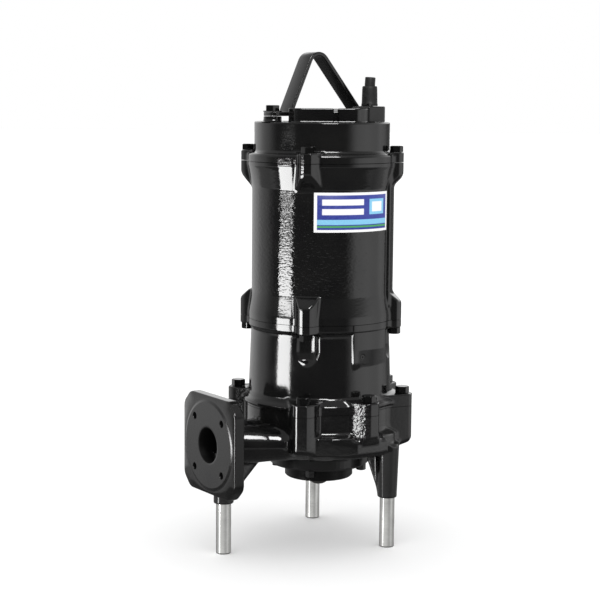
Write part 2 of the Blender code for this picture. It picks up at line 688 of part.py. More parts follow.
def main():
    """Build every sub-part and hang it on the pump's axis."""
    clear_scene()
    groups = [
        ([lifting_handle(), top_cover(), motor_frame(), seal_housing()], "enamel", CAST),
        ([volute_casing(), suction_cover()], "enamel", CAST),
        ([oil_plug()], "steel", STEEL_GREY),
        (handle_bolts() + cover_bolts() + housing_bolts(), "black_bolt", BOLT_BLACK),
        (casing_bolts() + suction_bolts(), "black_bolt", BOLT_BLACK),
        ([grinder_ring(), grinder_cutter(), cutter_nut(), pump_shaft()], "steel", STEEL_GREY),
        (legs(), "stainless", STAINLESS),
        ([rating_plate()], "print", PLATE_BLUE),
    ]
    box, boot, stub, screw_1, screw_2 = cable_entry()
    groups.append(([box], "enamel", CAST_DULL))
    groups.append(([boot, stub], "rubber", RUBBER))
    groups.append(([screw_1, screw_2], "steel", BOLT_BLACK))
    axis = bpy.data.objects.new("pump_axis", None)
    axis.location = (SHAFT_X * MM, 0.0, 0.0)
    bpy.context.scene.collection.objects.link(axis)
    for items, material_name, values in groups:
        finish(items, material_name, values)
        for item in items:
            item.parent = axis


main()
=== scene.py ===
# %% [markdown]
# # A submersible grinder pump
#
# The pump stands in a sump, draws sewage in from below, chops it with a cutter and pushes it out
# through the flange at its side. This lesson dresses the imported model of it. The solids are already
# at their real places, so every new piece is worked out in millimetres about the pump's shaft, and
# only the last step turns millimetres into metres.

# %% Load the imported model
import math

import bpy
import numpy as np
from mathutils import Matrix, Vector


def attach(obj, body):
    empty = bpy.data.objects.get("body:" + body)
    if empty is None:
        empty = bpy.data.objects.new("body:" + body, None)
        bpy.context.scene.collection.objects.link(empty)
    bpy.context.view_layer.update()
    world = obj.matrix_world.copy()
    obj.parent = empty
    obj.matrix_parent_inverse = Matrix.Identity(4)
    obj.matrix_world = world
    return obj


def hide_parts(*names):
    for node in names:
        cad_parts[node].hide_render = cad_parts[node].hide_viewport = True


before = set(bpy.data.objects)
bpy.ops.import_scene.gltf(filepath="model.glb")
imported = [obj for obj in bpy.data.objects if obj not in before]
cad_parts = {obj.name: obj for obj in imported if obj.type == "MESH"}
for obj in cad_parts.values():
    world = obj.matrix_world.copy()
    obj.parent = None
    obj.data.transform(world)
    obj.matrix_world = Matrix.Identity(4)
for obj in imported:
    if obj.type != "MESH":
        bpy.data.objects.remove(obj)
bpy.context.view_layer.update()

MM = 0.001
SHAFT_X = 27.75
print("packed nodes:", len(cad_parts))

# %% [markdown]
# ## The camera
#
# The photograph was taken from about two and a third metres away, a little above the middle of the
# pump and turned 35 degrees from its front. The camera is set from those measured values, and not
# aimed by eye, so that every edge of the render falls where the photograph has it.

# %% Place the camera
FRAME_WIDTH = 600.0
FOCAL_PIXELS = 1588.15
CAMERA_TURN = math.radians(-34.69)
CAMERA_AWAY = 2350.5
CAMERA_HEIGHT = 658.3
AIM_TURN = math.radians(-33.95)
AIM_DOWN = math.radians(7.2)
CAMERA_ROLL = math.radians(-0.5)


def add_camera():
    """Build the camera's axes from its aim: forward first, then right, then up, then the roll."""
    data = bpy.data.cameras.new("camera")
    data.sensor_width = 36.0
    data.lens = data.sensor_width * FOCAL_PIXELS / FRAME_WIDTH
    camera = bpy.data.objects.new("camera", data)
    bpy.context.scene.collection.objects.link(camera)
    level = math.cos(AIM_DOWN)
    forward = Vector((-math.sin(AIM_TURN) * level, math.cos(AIM_TURN) * level, -math.sin(AIM_DOWN)))
    right = Vector((math.cos(AIM_TURN), math.sin(AIM_TURN), 0.0))
    up = right.cross(forward)
    right_rolled = right * math.cos(CAMERA_ROLL) - up * math.sin(CAMERA_ROLL)
    up_rolled = right * math.sin(CAMERA_ROLL) + up * math.cos(CAMERA_ROLL)
    pose = Matrix((right_rolled, up_rolled, -forward)).transposed().to_4x4()
    pose.translation = Vector((
        SHAFT_X + CAMERA_AWAY * math.sin(CAMERA_TURN),
        -CAMERA_AWAY * math.cos(CAMERA_TURN),
        CAMERA_HEIGHT,
    )) * MM
    camera.matrix_world = pose
    bpy.context.scene.camera = camera
    return camera


camera = add_camera()
print("lens in mm:", round(camera.data.lens, 1))

# %% [markdown]
# ## Working with node trees
#
# A material is a small graph. One helper adds a node, sets its sockets and links whatever is passed
# as another node's output, so that the cells on finishes can be read like a recipe.

# %% Helpers for node trees
def add_node(tree, kind, settings=None, **sockets):
    """Add a node, set its properties, then set or link its sockets by name or number."""
    node = tree.nodes.new(kind)
    for key, value in (settings or {}).items():
        setattr(node, key, value)
    for key, value in sockets.items():
        name = key.replace("_", " ")
        socket = node.inputs[int(key[1:])] if key[1:].isdigit() else node.inputs[name]
        if isinstance(value, bpy.types.NodeSocket):
            tree.links.new(value, socket)
        else:
            socket.default_value = value
    return node


def math_node(tree, operation, *values):
    """Chain a Math node: numbers and sockets may be mixed."""
    sockets = {f"i{number}": value for number, value in enumerate(values)}
    return add_node(tree, "ShaderNodeMath", {"operation": operation}, **sockets).outputs[0]


def ramp(tree, factor, stops):
    """Colour ramp from (position, grey or colour) stops."""
    node = add_node(tree, "ShaderNodeValToRGB", None, Fac=factor)
    elements = node.color_ramp.elements
    while len(elements) < len(stops):
        elements.new(0.5)
    for element, (position, shade) in zip(elements, stops):
        element.position = position
        colour = (shade,) * 3 if isinstance(shade, float) else shade
        element.color = (*colour, 1.0)
    return node.outputs["Color"]


# %% [markdown]
# ## The studio
#
# Glossy black enamel has almost no colour of its own: what the eye sees is the studio mirrored in
# it. So the surroundings are built as the enamel shows them. A tall lit panel on the discharge side
# gives the bright upright stripe. It is made of five pieces one above the other, because legs,
# bosses, casing and barrel each mirror another height of it, and the stripe changes in width and
# strength.
# Grey walls on both flanks give the soft edges, and the camera's side stays dark. Matt surfaces and
# the camera itself get an even pale room instead.

# %% Light the room
STUDIO_WALLS = [
    (0, 0.62), (9, 0.40), (20, 0.13), (50, 0.12), (68, 0.60), (90, 0.90), (104, 1.05), (122, 0.80),
    (134, 0.68), (146, 0.28), (153, 0.10), (190, 0.08), (276, 0.07), (281, 0.22), (289, 0.80),
    (297, 1.25), (306, 1.30), (318, 1.30), (330, 1.05), (341, 0.85), (352, 0.85), (360, 0.62),
]
FLOOR_WALLS = [
    (0, 0.35), (60, 0.30), (92, 0.20), (115, 0.45), (140, 0.50), (155, 0.80), (165, 1.00), (174, 1.00),
    (187, 0.80), (200, 0.80), (240, 0.66), (262, 0.50), (275, 0.48), (300, 0.62), (315, 0.60),
    (330, 0.34), (345, 0.45), (360, 0.35),
]
UPPER_WALLS = [
    (0, 1.3), (40, 1.5), (95, 1.2), (125, 0.7), (150, 0.4), (200, 0.15), (270, 0.10), (300, 0.35),
    (330, 0.8), (360, 1.3),
]
ROOM_LIGHT = 1.24


def build_world():
    """Mirrored studio: walls by compass angle, brighter ones higher up, and a dark roof."""
    world = bpy.data.worlds.new("studio")
    bpy.context.scene.world = world
    world.use_nodes = True
    tree = world.node_tree
    tree.nodes.clear()
    direction = add_node(tree, "ShaderNodeTexCoord").outputs["Generated"]
    axes = add_node(tree, "ShaderNodeSeparateXYZ", None, Vector=direction).outputs
    compass = math_node(tree, "ARCTAN2", axes["Y"], axes["X"])
    turn = math_node(tree, "FRACT", math_node(tree, "DIVIDE", compass, 2 * math.pi))
    seen = ramp(tree, turn, [(angle / 360, grey) for angle, grey in STUDIO_WALLS])
    upper = ramp(tree, turn, [(angle / 360, grey) for angle, grey in UPPER_WALLS])
    lower = ramp(tree, turn, [(angle / 360, grey) for angle, grey in FLOOR_WALLS])
    ground, roof = (0.13, 0.13, 0.13, 1.0), (0.45, 0.45, 0.45, 1.0)
    for start, full, shade in ((-0.215, -0.245, lower), (-0.31, -0.34, ground),
                               (0.05, 0.14, upper), (0.38, 0.6, roof)):
        lift = add_node(tree, "ShaderNodeMapRange", {"interpolation_type": "SMOOTHSTEP"},
                        Value=axes["Z"], From_Min=start, From_Max=full).outputs[0]
        seen = add_node(tree, "ShaderNodeMix", {"data_type": "RGBA"}, i0=lift, i6=seen,
                        i7=shade).outputs[2]
    path = add_node(tree, "ShaderNodeLightPath").outputs
    even = add_node(tree, "ShaderNodeMix", {"data_type": "RGBA"}, i0=path["Is Camera Ray"],
                    i6=(ROOM_LIGHT, ROOM_LIGHT, ROOM_LIGHT, 1.0), i7=(1.0, 1.0, 1.0, 1.0))
    seen = add_node(tree, "ShaderNodeMix", {"data_type": "RGBA"}, i0=path["Is Glossy Ray"],
                    i6=even.outputs[2], i7=seen).outputs[2]
    background = add_node(tree, "ShaderNodeBackground", None, Color=seen)
    return add_node(tree, "ShaderNodeOutputWorld", None, Surface=background.outputs[0])


SIDE_AWAY = 1150.0
SIDE_PANELS = [
    ("legs", 177.0, -260.0, (190.0, 155.0), 2.5),
    ("boss", 176.5, -126.0, (240.0, 112.0), 16.0),
    ("low", 177.0, 132.5, (450.0, 405.0), 20.0),
    ("middle", 180.0, 404.0, (430.0, 134.0), 1.2),
    ("high", 178.5, 494.0, (460.0, 43.0), 20.0),
]


def add_panel(name, turn, away, height, size, brightness, aim_height):
    """Light panel of (width, height) mm that faces a point on the shaft and is hidden from the
    camera. The power that gives a brightness is pi times it times the panel's area."""
    data = bpy.data.lights.new(name, "AREA")
    data.shape = "RECTANGLE"
    data.size, data.size_y = size[0] * MM, size[1] * MM
    data.energy = math.pi * brightness * data.size * data.size_y
    light = bpy.data.objects.new(name, data)
    place = Vector((SHAFT_X + away * math.cos(math.radians(turn)),
                    away * math.sin(math.radians(turn)), height)) * MM
    facing = place - Vector((SHAFT_X, 0.0, aim_height)) * MM
    turned = facing.to_track_quat("Z", "Y").to_matrix().to_4x4()
    light.matrix_world = Matrix.Translation(place) @ turned
    light.visible_camera = False
    light.visible_diffuse = False
    bpy.context.scene.collection.objects.link(light)
    return light


build_world()
bpy.context.scene.view_settings.view_transform = "Standard"
panels = [add_panel(f"side_panel_{part}", turn, SIDE_AWAY, height, size, brightness, height)
          for part, turn, height, size, brightness in SIDE_PANELS]
panels.append(add_panel("front_panel", 251.0, 1050.0, 1500.0, (560.0, 600.0), 24.0, 250.0))
print("studio walls:", len(STUDIO_WALLS), "stops, panels:", len(panels))

# %% [markdown]
# ## The floor
#
# The pump stands on a plain pale floor. A wide disc is enough, and it is hidden from mirrored
# rays. What the pump mirrors of a floor is in the studio's own ramp.

# %% Lay the floor
def add_floor(radius, corner_count=96):
    """Flat disc at height zero: the points (r cos t, r sin t, 0) of one circle."""
    turn = np.linspace(0, 2 * math.pi, corner_count, endpoint=False)
    corners = np.stack([np.cos(turn), np.sin(turn), np.zeros_like(turn)], -1) * radius * MM
    mesh = bpy.data.meshes.new("floor")
    mesh.from_pydata(corners.tolist(), [], [list(range(corner_count))])
    disc = bpy.data.objects.new("floor", mesh)
    bpy.context.scene.collection.objects.link(disc)
    disc.visible_glossy = False
    paint = bpy.data.materials.new("pale_floor")
    paint.use_nodes = True
    shader = paint.node_tree.nodes["Principled BSDF"]
    shader.inputs["Base Color"].default_value = (0.95, 0.95, 0.95, 1.0)
    shader.inputs["Roughness"].default_value = 0.9
    shader.inputs["Specular IOR Level"].default_value = 0.0
    mesh.materials.append(paint)
    return disc


floor = add_floor(30000.0)
print("floor radius in m:", floor.dimensions.x / 2)

# %% [markdown]
# ## Solids as fields
#
# The castings are full of soft corners: lugs run into the wall with a fillet, ledges are rounded and
# pockets are scooped out. Such shapes are easy to write as fields. A field is a number that is
# negative inside a solid and grows outwards. The greater of two fields is what both solids share,
# the lesser is their union, and if the change from one to the other is rounded off, so is the edge.

# %% Rounded unions and cuts
def smooth_max(one, other, width):
    """Shared part of two fields. Where they differ by less than the width w, the excess
    (w - |a - b|)^2 / 4w rounds the edge."""
    near = np.maximum(width - np.abs(one - other), 0.0)
    return np.maximum(one, other) + near * near / (4 * width)


def smooth_min(one, other, width):
    """Union of two fields with a fillet: the negative of the shared part of the negatives."""
    return -smooth_max(-one, -other, width)


def soft_profile(points, spread):
    """Radius over height through the given points, its corners rounded by averaging the radius
    over the given spread of heights."""
    heights, radii = np.array(points, float).T
    fine = np.arange(heights[0] - 20, heights[-1] + 20, 0.25)
    window = np.ones(int(spread / 0.25) | 1)
    averaged = np.convolve(np.interp(fine, heights, radii), window / window.size, mode="same")
    return lambda z: np.interp(z, fine, averaged)


def knots(*spans):
    """Grid values: each (start, stop, step) span is walked, and doubles are dropped."""
    walked = [np.arange(start, stop + step / 2, step) for start, stop, step in spans]
    return np.unique(np.round(np.concatenate(walked), 3))


print("fillet of two walls that meet:", smooth_min(np.array(0.0), np.array(0.0), 6.0))

# %% [markdown]
# ## From a field to a skin
#
# A casting like this one can be seen whole from its own axis: a level ray from the axis leaves the
# metal once. So its skin is one grid, with the compass angle along one side and the height along the
# other, and the radius is found for all grid points at once: the rays are walked inwards until they
# meet the metal, and then the last step is halved until the radius is exact. The top and bottom of
# the grid are closed by a fan of triangles, so every skin is a closed solid.

# %% Cast skins
def follow_rays(solid, degrees, heights, outer, inner):
    """Radius where each level ray first meets the solid: a walk inwards, then halving."""
    turn = np.radians(degrees)[None, :]
    height = np.asarray(heights, float)[:, None]
    shape = (height.size, turn.size)
    outside = np.full(shape, float(outer))
    inside = np.full(shape, float(inner))
    searching = np.ones(shape, bool)
    steps = np.linspace(outer, inner, 64)
    for before, radius in zip(steps, steps[1:]):
        met = searching & (solid(radius, turn, height) < 0)
        outside[met] = before
        inside[met] = radius
        searching &= ~met
    for _ in range(13):
        middle = (outside + inside) / 2
        hit = solid(middle, turn, height) < 0
        inside = np.where(hit, middle, inside)
        outside = np.where(hit, outside, middle)
    return inside


def closed_skin(name, points, finishes, crease=48.0):
    """Mesh from a grid of points in mm, rows upwards and columns round: quads between the rows,
    and a fan to the middle of the first and last row. Index k in row j is vertex j * n + k."""
    rows, columns = points.shape[:2]
    corners = np.concatenate([points.reshape(-1, 3), points[[0, -1]].mean(axis=1)])
    corners[:, 0] += SHAFT_X
    here = np.arange(rows * columns).reshape(rows, columns)
    beside = np.roll(here, -1, axis=1)
    quads = np.stack([here[:-1], beside[:-1], beside[1:], here[1:]], axis=-1).reshape(-1, 4)
    bottom, top = rows * columns, rows * columns + 1
    fans = [np.stack([beside[0], here[0], np.full(columns, bottom)], axis=-1),
            np.stack([here[-1], beside[-1], np.full(columns, top)], axis=-1)]
    mesh = bpy.data.meshes.new(name)
    mesh.from_pydata((corners * MM).tolist(), [], quads.tolist() + np.concatenate(fans).tolist())
    mesh.shade_smooth()
    mesh.set_sharp_from_angle(angle=math.radians(crease))
    for finish in finishes:
        mesh.materials.append(finish)
    piece = bpy.data.objects.new(name, mesh)
    bpy.context.scene.collection.objects.link(piece)
    return piece


def around(radii, degrees, heights, centre=(0.0, 0.0)):
    """Grid of points from radius, angle and height: (cx + r cos t, cy + r sin t, z)."""
    turn = np.radians(degrees)[None, :]
    height = np.broadcast_to(np.asarray(heights, float)[:, None], radii.shape)
    return np.stack([centre[0] + radii * np.cos(turn), centre[1] + radii * np.sin(turn), height], -1)


def fit_out(piece, node):
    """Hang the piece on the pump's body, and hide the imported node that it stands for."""
    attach(piece, "pump")
    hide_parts(node)
    return piece


def cast(name, field, columns, heights, reach, finishes, node, centre=(0.0, 0.0), sole=0.0):
    """Skin of a field, walked in from the greater to the lesser radius of the given reach. With a
    sole the lowest row is repeated that much lower, so that the piece stands inside the metal."""
    radii = follow_rays(field, columns, heights, *reach)
    points = around(radii, columns, heights, centre)
    if sole:
        points = np.concatenate([points[:1] - np.array([0.0, 0.0, sole]), points])
    return fit_out(closed_skin(name, points, finishes), node)


def measure(piece):
    """Faces of a piece, and its size in mm."""
    size = [round(edge / MM, 1) for edge in piece.dimensions]
    return f"{piece.name}: {len(piece.data.polygons)} faces, {size} mm"

# %% [markdown]
# ## Black enamel
#
# The castings were dipped in gloss black enamel. It has a fine orange peel of two or three
# millimetres, and a slow waviness from the sand mould below it, both of which bend the mirrored
# stripes. Where the casting is rough, grains stand through the paint and sparkle. The flange's
# face is duller. The bore gets a darker, duller copy as painted shade, and the front of the flange's
# rim one with weaker reflection as painted shade. One recipe with a few amounts makes every variant,
# and all its patterns follow Object coordinates.

# %% Enamel finishes
def new_finish(name):
    """Material with its node tree, its shader and the Object coordinates."""
    finish = bpy.data.materials.new(name)
    finish.use_nodes = True
    tree = finish.node_tree
    place = add_node(tree, "ShaderNodeTexCoord").outputs["Object"]
    return finish, tree, tree.nodes["Principled BSDF"], place


def noise(tree, place, size, detail):
    """Noise value, whose patches are about one metre over the size across."""
    return add_node(tree, "ShaderNodeTexNoise", None, Vector=place, Scale=size,
                    Detail=detail).outputs["Fac"]


def span(tree, value, low, high, start, stop):
    """Carry the range from low to high over to the one from start to stop."""
    return add_node(tree, "ShaderNodeMapRange", None, Value=value, From_Min=low, From_Max=high,
                    To_Min=start, To_Max=stop).outputs[0]


def connect(tree, shader, **sockets):
    """Link outputs to the shader's sockets by name."""
    for key, output in sockets.items():
        tree.links.new(output, shader.inputs[key.replace("_", " ")])


ZONE_EDGE = 12.0
SAGGED = (0.7, 0.7, 1.5)


def enamel(name, shade=0.0055, gloss=(0.10, 0.22), peel=0.028, wave=0.10, grain=0.0, zone=None,
           sheen=0.5):
    """Dark glossy paint. The amounts are the heights in mm of peel, waviness and cast grain. With a
    zone (low, high) in mm the peel fades out below and above those heights. Sheen is the specular
    level: 0.5 for clean paint, and lower where it paints shade into the bore and the flange's rim."""
    finish, tree, shader, place = new_finish(name)
    dust = noise(tree, place, 26.0, 5.0)
    tint = ramp(tree, dust, [(0.3, (shade * 0.8, shade * 0.8, shade * 0.85)),
                             (0.7, (shade * 1.3, shade * 1.28, shade * 1.25))])
    within, peel_place = 1.0, place
    if zone:
        height = add_node(tree, "ShaderNodeSeparateXYZ", None, Vector=place).outputs["Z"]
        off = math_node(tree, "ABSOLUTE", math_node(tree, "SUBTRACT", height, sum(zone) / 2 * MM))
        reach = (zone[1] - zone[0]) / 2 * MM
        within = span(tree, off, reach, reach - ZONE_EDGE * MM, 0.12, 1.0)
        peel_place = add_node(tree, "ShaderNodeMapping", None, Vector=place,
                              Scale=SAGGED).outputs[0]
    normal = None
    for size, height, detail, where, strength in (
            (38.0, wave, 1.0, place, 1.0), (240.0, peel, 1.5, peel_place, within),
            (900.0, grain, 3.0, place, 1.0)):
        if height:
            bump = add_node(tree, "ShaderNodeBump", None, Height=noise(tree, where, size, detail),
                            Distance=height * MM, Strength=strength)
            if normal is not None:
                tree.links.new(normal, bump.inputs["Normal"])
            normal = bump.outputs["Normal"]
    shader.inputs["Specular IOR Level"].default_value = sheen
    connect(tree, shader, Base_Color=tint, Roughness=span(tree, dust, 0.35, 0.7, *gloss),
            Normal=normal)
    return finish


BARREL_ENAMEL = enamel("barrel_enamel", gloss=(0.04, 0.09), peel=0.34, wave=0.12, zone=(372, 530))
CAP_ENAMEL = enamel("cap_enamel", gloss=(0.07, 0.15), peel=0.06)
CAST_ENAMEL = enamel("cast_enamel", gloss=(0.07, 0.15), peel=0.06, wave=0.14, grain=0.012)
BOLT_ENAMEL = enamel("bolt_enamel", shade=0.003, gloss=(0.06, 0.13), peel=0.03, wave=0.0)
ENTRY_ENAMEL = enamel("entry_enamel", shade=0.005, gloss=(0.28, 0.42), peel=0.04, wave=0.05)
HANDLE_ENAMEL = enamel("handle_enamel", shade=0.004, gloss=(0.14, 0.26), peel=0.03, wave=0.05)
FLANGE_FINISH = enamel("flange_finish", shade=0.008, gloss=(0.16, 0.28), peel=0.02, wave=0.0)
# Painted shade: the bore and the screw holes get a darker enamel with little reflection.
BORE_PAINTED_SHADE = enamel("bore_painted_shade", shade=0.002, gloss=(0.6, 0.8), peel=0.05, wave=0.0, sheen=0.1)
# Painted shade: the front of the flange's rim gets a copy of the enamel with weaker reflection.
RIM_PAINTED_SHADE = enamel("rim_painted_shade", gloss=(0.12, 0.22), peel=0.03, wave=0.0, sheen=0.24)
GRAINY_ENAMEL = enamel("grainy_enamel", gloss=(0.05, 0.12), peel=0.85, wave=0.05, grain=0.12)
print("enamels:", BARREL_ENAMEL.name, CAST_ENAMEL.name, BOLT_ENAMEL.name)

# %% [markdown]
# ## Metal and rubber
#
# The rod legs are turned stainless steel, bright and very finely grooved across their length. The
# sealing face of the flange is machined after painting and then flashed over with a thin coat, so it
# is grey-black with faint circles round the bore. The cutting gear is hardened steel, and the cable
# boot is dull moulded rubber.

# %% Metal and rubber finishes
def turned_metal(name, shade, gloss, groove, axis_scale):
    """Metal with fine grooves: noise that is squeezed along the turned axis, as bump and gloss."""
    finish, tree, shader, place = new_finish(name)
    shader.inputs["Metallic"].default_value = 1.0
    lathe = add_node(tree, "ShaderNodeMapping", None, Vector=place, Scale=axis_scale).outputs[0]
    lines = noise(tree, lathe, 60.0, 4.0)
    stain = noise(tree, place, 45.0, 3.0)
    tint = ramp(tree, stain, [(0.3, tuple(part * 0.82 for part in shade)), (0.7, shade)])
    bump = add_node(tree, "ShaderNodeBump", None, Height=lines, Distance=groove * MM)
    connect(tree, shader, Base_Color=tint, Roughness=span(tree, lines, 0.3, 0.7, *gloss),
            Normal=bump.outputs["Normal"])
    return finish


def dull_rubber(name):
    """Moulded rubber: matt, faintly dusty, with a soft mottle."""
    finish, tree, shader, place = new_finish(name)
    mottle = noise(tree, place, 220.0, 6.0)
    bump = add_node(tree, "ShaderNodeBump", None, Height=mottle, Distance=0.06 * MM)
    shader.inputs["Specular IOR Level"].default_value = 0.3
    connect(tree, shader, Base_Color=ramp(tree, mottle, [(0.3, 0.005), (0.75, 0.014)]),
            Roughness=ramp(tree, mottle, [(0.3, 0.5), (0.7, 0.72)]), Normal=bump.outputs["Normal"])
    return finish


STAINLESS = turned_metal("turned_stainless", (0.78, 0.78, 0.76), (0.05, 0.12), 0.008,
                         (1.0, 1.0, 30.0))
BLACK_STEEL = turned_metal("blackened_steel", (0.035, 0.035, 0.035), (0.38, 0.52), 0.02,
                           (1.0, 1.0, 12.0))
CUTTING_STEEL = turned_metal("cutting_steel", (0.22, 0.21, 0.20), (0.25, 0.42), 0.02,
                             (1.0, 1.0, 12.0))
RUBBER = dull_rubber("boot_rubber")
print("metals:", STAINLESS.name, CUTTING_STEEL.name)

# %% [markdown]
# ## The lugs
#
# Long bolts hold the castings together, and each passes through a lug. Seen from above a lug is a
# narrow nose, two chamfers and two flanks that spread towards the wall. Lugs of a kind are alike, so
# the angle is folded: every lug is worked out as the same one, pointing along one axis. Only the lug
# at the casing's right spreads wider and has no shoulder beside its nose.

# %% Fields of the lugs
FRAME_LUG = {"tip": 121.0, "nose": 6.0, "half": 13.0, "back": 7.0, "shoulder": 3.4, "spread": 0.43}
CASING_LUG = {"tip": 139.0, "nose": 6.5, "half": 15.5, "back": 8.0, "shoulder": 6.3, "spread": 0.43}
RIGHT_LUG = {**CASING_LUG, "shoulder": 30.0, "spread": 0.73}
FRAME_LUG_ANGLES = (45, 135, 225, 315)
CASING_LUG_ANGLES = (0, 45, 90, 135, 225, 270, 315)
SHOULDER_TURN = math.radians(24)
STEEP = 1.5
NOSE_EDGE = 0.9


def fold(turn, step_degrees, first_degrees):
    """Angle from the nearest of evenly spaced lugs, in radians."""
    step = math.radians(step_degrees)
    return np.mod(turn - math.radians(first_degrees) + step / 2, step) - step / 2


def lug(radius, turn, kind):
    """Field of one lug's plan: nose plane, chamfer and spreading flank on both sides. On one side a
    shoulder at 24 degrees from the nose leads to a steeper chamfer."""
    radius_out, over = radius * np.cos(turn), radius * np.sin(turn)
    aside = np.abs(over)
    half, corner, spread = kind["half"], kind["tip"] - kind["back"], kind["spread"]
    nose = radius_out - kind["tip"]
    past = -over - kind["shoulder"]
    shoulder = nose * math.cos(SHOULDER_TURN) + past * math.sin(SHOULDER_TURN)
    slant = np.where(over < 0, STEEP, kind["back"] / (half - kind["nose"]))
    chamfer = (radius_out - corner + slant * (aside - half)) / np.hypot(slant, 1.0)
    flank = (spread * (radius_out - corner) + aside - half) / math.hypot(spread, 1.0)
    faces = smooth_max(smooth_max(nose, shoulder, NOSE_EDGE), chamfer, NOSE_EDGE)
    return smooth_max(faces, flank, 3.0)


print("lugs on the barrel:", len(FRAME_LUG_ANGLES), "and round the casing:", len(CASING_LUG_ANGLES))

# %% [markdown]
# ## The motor barrel
#
# The barrel holds the motor. Its wall flares into a rim at both ends, where the lugs stand, and each
# lug slopes back into the wall. A raised channel at the right rear leads the cable's cores down.
# All of it is one casting, so all of it is one skin. It ends a fifth of a millimetre above the
# housing, so that only a fine seam shows.

# %% Cast the motor barrel
BARREL_FOOT, BARREL_TOP = 337.1, 568.0
BARREL_WALL = soft_profile([(BARREL_FOOT, 107), (346, 107), (377, 102.5), (530, 102.5), (561, 108.4),
                            (563, 109), (BARREL_TOP, 109)], 3.0)


def sloped(radius, turn, z, tip, start, slope):
    """Plane that draws a lug's nose inwards: radius - tip - slope (z - start), as a distance."""
    return (radius * np.cos(turn) - tip - slope * (z - start)) / math.hypot(slope, 1.0)


def arc_pad(radius, turn, reach, start, end, soft=4.0):
    """Field of a block that follows the wall between two angles in degrees."""
    middle, half = math.radians((start + end) / 2), math.radians((end - start) / 2)
    return smooth_max(radius - reach, reach * (np.abs(turn - middle) - half), soft)


def barrel_field(radius, turn, z):
    """Wall, channel and eight lugs, joined with fillets and cut level at both ends."""
    here = fold(turn, 90, 45)
    channel = smooth_max(arc_pad(radius, turn, 107.3, 304, 342), np.abs(z - 452.6) - 95.4, 5.0)
    casting = smooth_min(radius - BARREL_WALL(z), channel, 3.0)
    plan = lug(radius, here, FRAME_LUG)
    lower = smooth_max(smooth_max(plan, sloped(radius, here, z, 121, 364, -1.15), 3.0), z - 377, 1.5)
    upper = smooth_max(plan, sloped(radius, here, z, 121, 548, 1.03), 5.0)
    casting = smooth_min(casting, np.where(z < 450, lower, upper), 3.5)
    return smooth_max(smooth_max(casting, BARREL_FOOT - z, 0.3), z - BARREL_TOP, 0.3)


def lug_columns(angles, spread, fine, coarse, extra=()):
    """Angles of the grid's columns: fine ones near the lugs and coarse ones between them."""
    dense = [knots((angle - spread, angle + spread, fine)) for angle in angles]
    every = np.arange(0, 360, coarse)
    gap = np.abs((every[:, None] - np.array(angles) + 180) % 360 - 180).min(axis=1)
    walked = np.concatenate([*dense, every[gap > spread], np.array(extra)])
    return np.unique(np.round(walked % 360, 3))


FRAME_COLUMNS = lug_columns(FRAME_LUG_ANGLES, 16, 0.4, 2.0, np.arange(336, 348, 0.75))
BARREL_ROWS = knots((BARREL_FOOT, 339.1, 0.25), (340, 364, 2), (364, 373, 1), (373.5, 380, 0.5),
                    (381, 525, 6), (526, 532, 1.0), (534, 560, 3), (560.5, 564, 0.5), (565, 566, 1),
                    (566.25, BARREL_TOP, 0.25))
barrel = cast("motor_barrel", barrel_field, FRAME_COLUMNS, BARREL_ROWS, (124.0, 96.0),
              [BARREL_ENAMEL], "motor_frame")
print(measure(barrel))

# %% [markdown]
# ## The seal housing
#
# Below the motor sits the oil chamber. Four short ears meet the barrel's lower lugs, and under each
# ear the wall is scooped out so that a bolt can be put in from below. Seven more ears at its foot
# meet the casing. The scoops are taken away before the ears are added, so that they end at the ears.
# One flank of the front lug was left rough by the mould, and it sparkles: its faces, and those of the
# casing below, get the grainy enamel.

# %% Cast the seal housing
HOUSING_FOOT, HOUSING_TOP = 209.05, 337.0
HOUSING_WALL = soft_profile([(HOUSING_FOOT, 111), (212.8, 111), (213.6, 114.5), (218.5, 114.5),
                             (223, 108.5), (229.3, 106), (249.3, 105.5), (317, 103), (323, 103.5),
                             (327, 107), (HOUSING_TOP, 107)], 2.0)
POCKET_WALL = soft_profile([(272, -6), (274, 2), (278, 10), (286, 17), (298, 21), (340, 21)], 3.0)


def at_lug(turn, angle):
    """Whether an angle lies nearer to this lug's than to the next one's, 45 degrees on."""
    return np.abs(turn - math.radians(angle)) < math.radians(22.5)


def casing_lugs(radius, turn):
    """Field of the seven casing lugs: every 45 degrees, and none over the discharge."""
    here = fold(turn, 45, 0)
    plan = np.where(at_lug(turn, 315), lug(radius, here, RIGHT_LUG), lug(radius, here, CASING_LUG))
    return np.where(at_lug(turn, 180), 30.0, plan)


def housing_field(radius, turn, z):
    """Wall with its pads, less the four pockets, joined with both rings of ears."""
    here = fold(turn, 90, 45)
    sunk = 2.2 * np.clip((300 - z) / 24, 0, 1) * np.clip((np.degrees(turn) - 264) / 6, 0, 1)
    pad = arc_pad(radius + sunk, turn, 107, 262, 300, 1.5)
    pad = smooth_max(pad, (268 - z) + (radius - 104), 12.0)
    casting = smooth_min(radius - HOUSING_WALL(z), pad, 1.2)
    plug = np.hypot(107 * (turn - math.radians(271)), z - 290) - 3.8
    casting = smooth_max(casting, -smooth_max(plug, 104.5 - radius, 0.5), 0.8)
    slant = ((z - 229) + (radius - 108)) / 1.41
    panel = smooth_max(arc_pad(radius, turn, 116.5, 227, 268), slant, 0.4)
    casting = smooth_min(casting, panel, 2.0)
    aside = np.hypot(radius * np.cos(here) - 114, radius * np.sin(here))
    pocket = smooth_max(aside - POCKET_WALL(z), z - 325, 2.0)
    casting = smooth_max(casting, -pocket, 4.0)
    upper = smooth_max(lug(radius, here, FRAME_LUG), 325 - z, 2.0)
    lower = smooth_max(casing_lugs(radius, turn), z - 227, 2.2)
    casting = smooth_min(smooth_min(casting, upper, 5.0), lower, 6.0)
    return smooth_max(smooth_max(casting, HOUSING_FOOT - z, 0.08), z - HOUSING_TOP, 0.2)


ROUGH_ANGLES = (258.6, 266.5)
ROUGH_HEIGHTS = (174.0, 226.5)


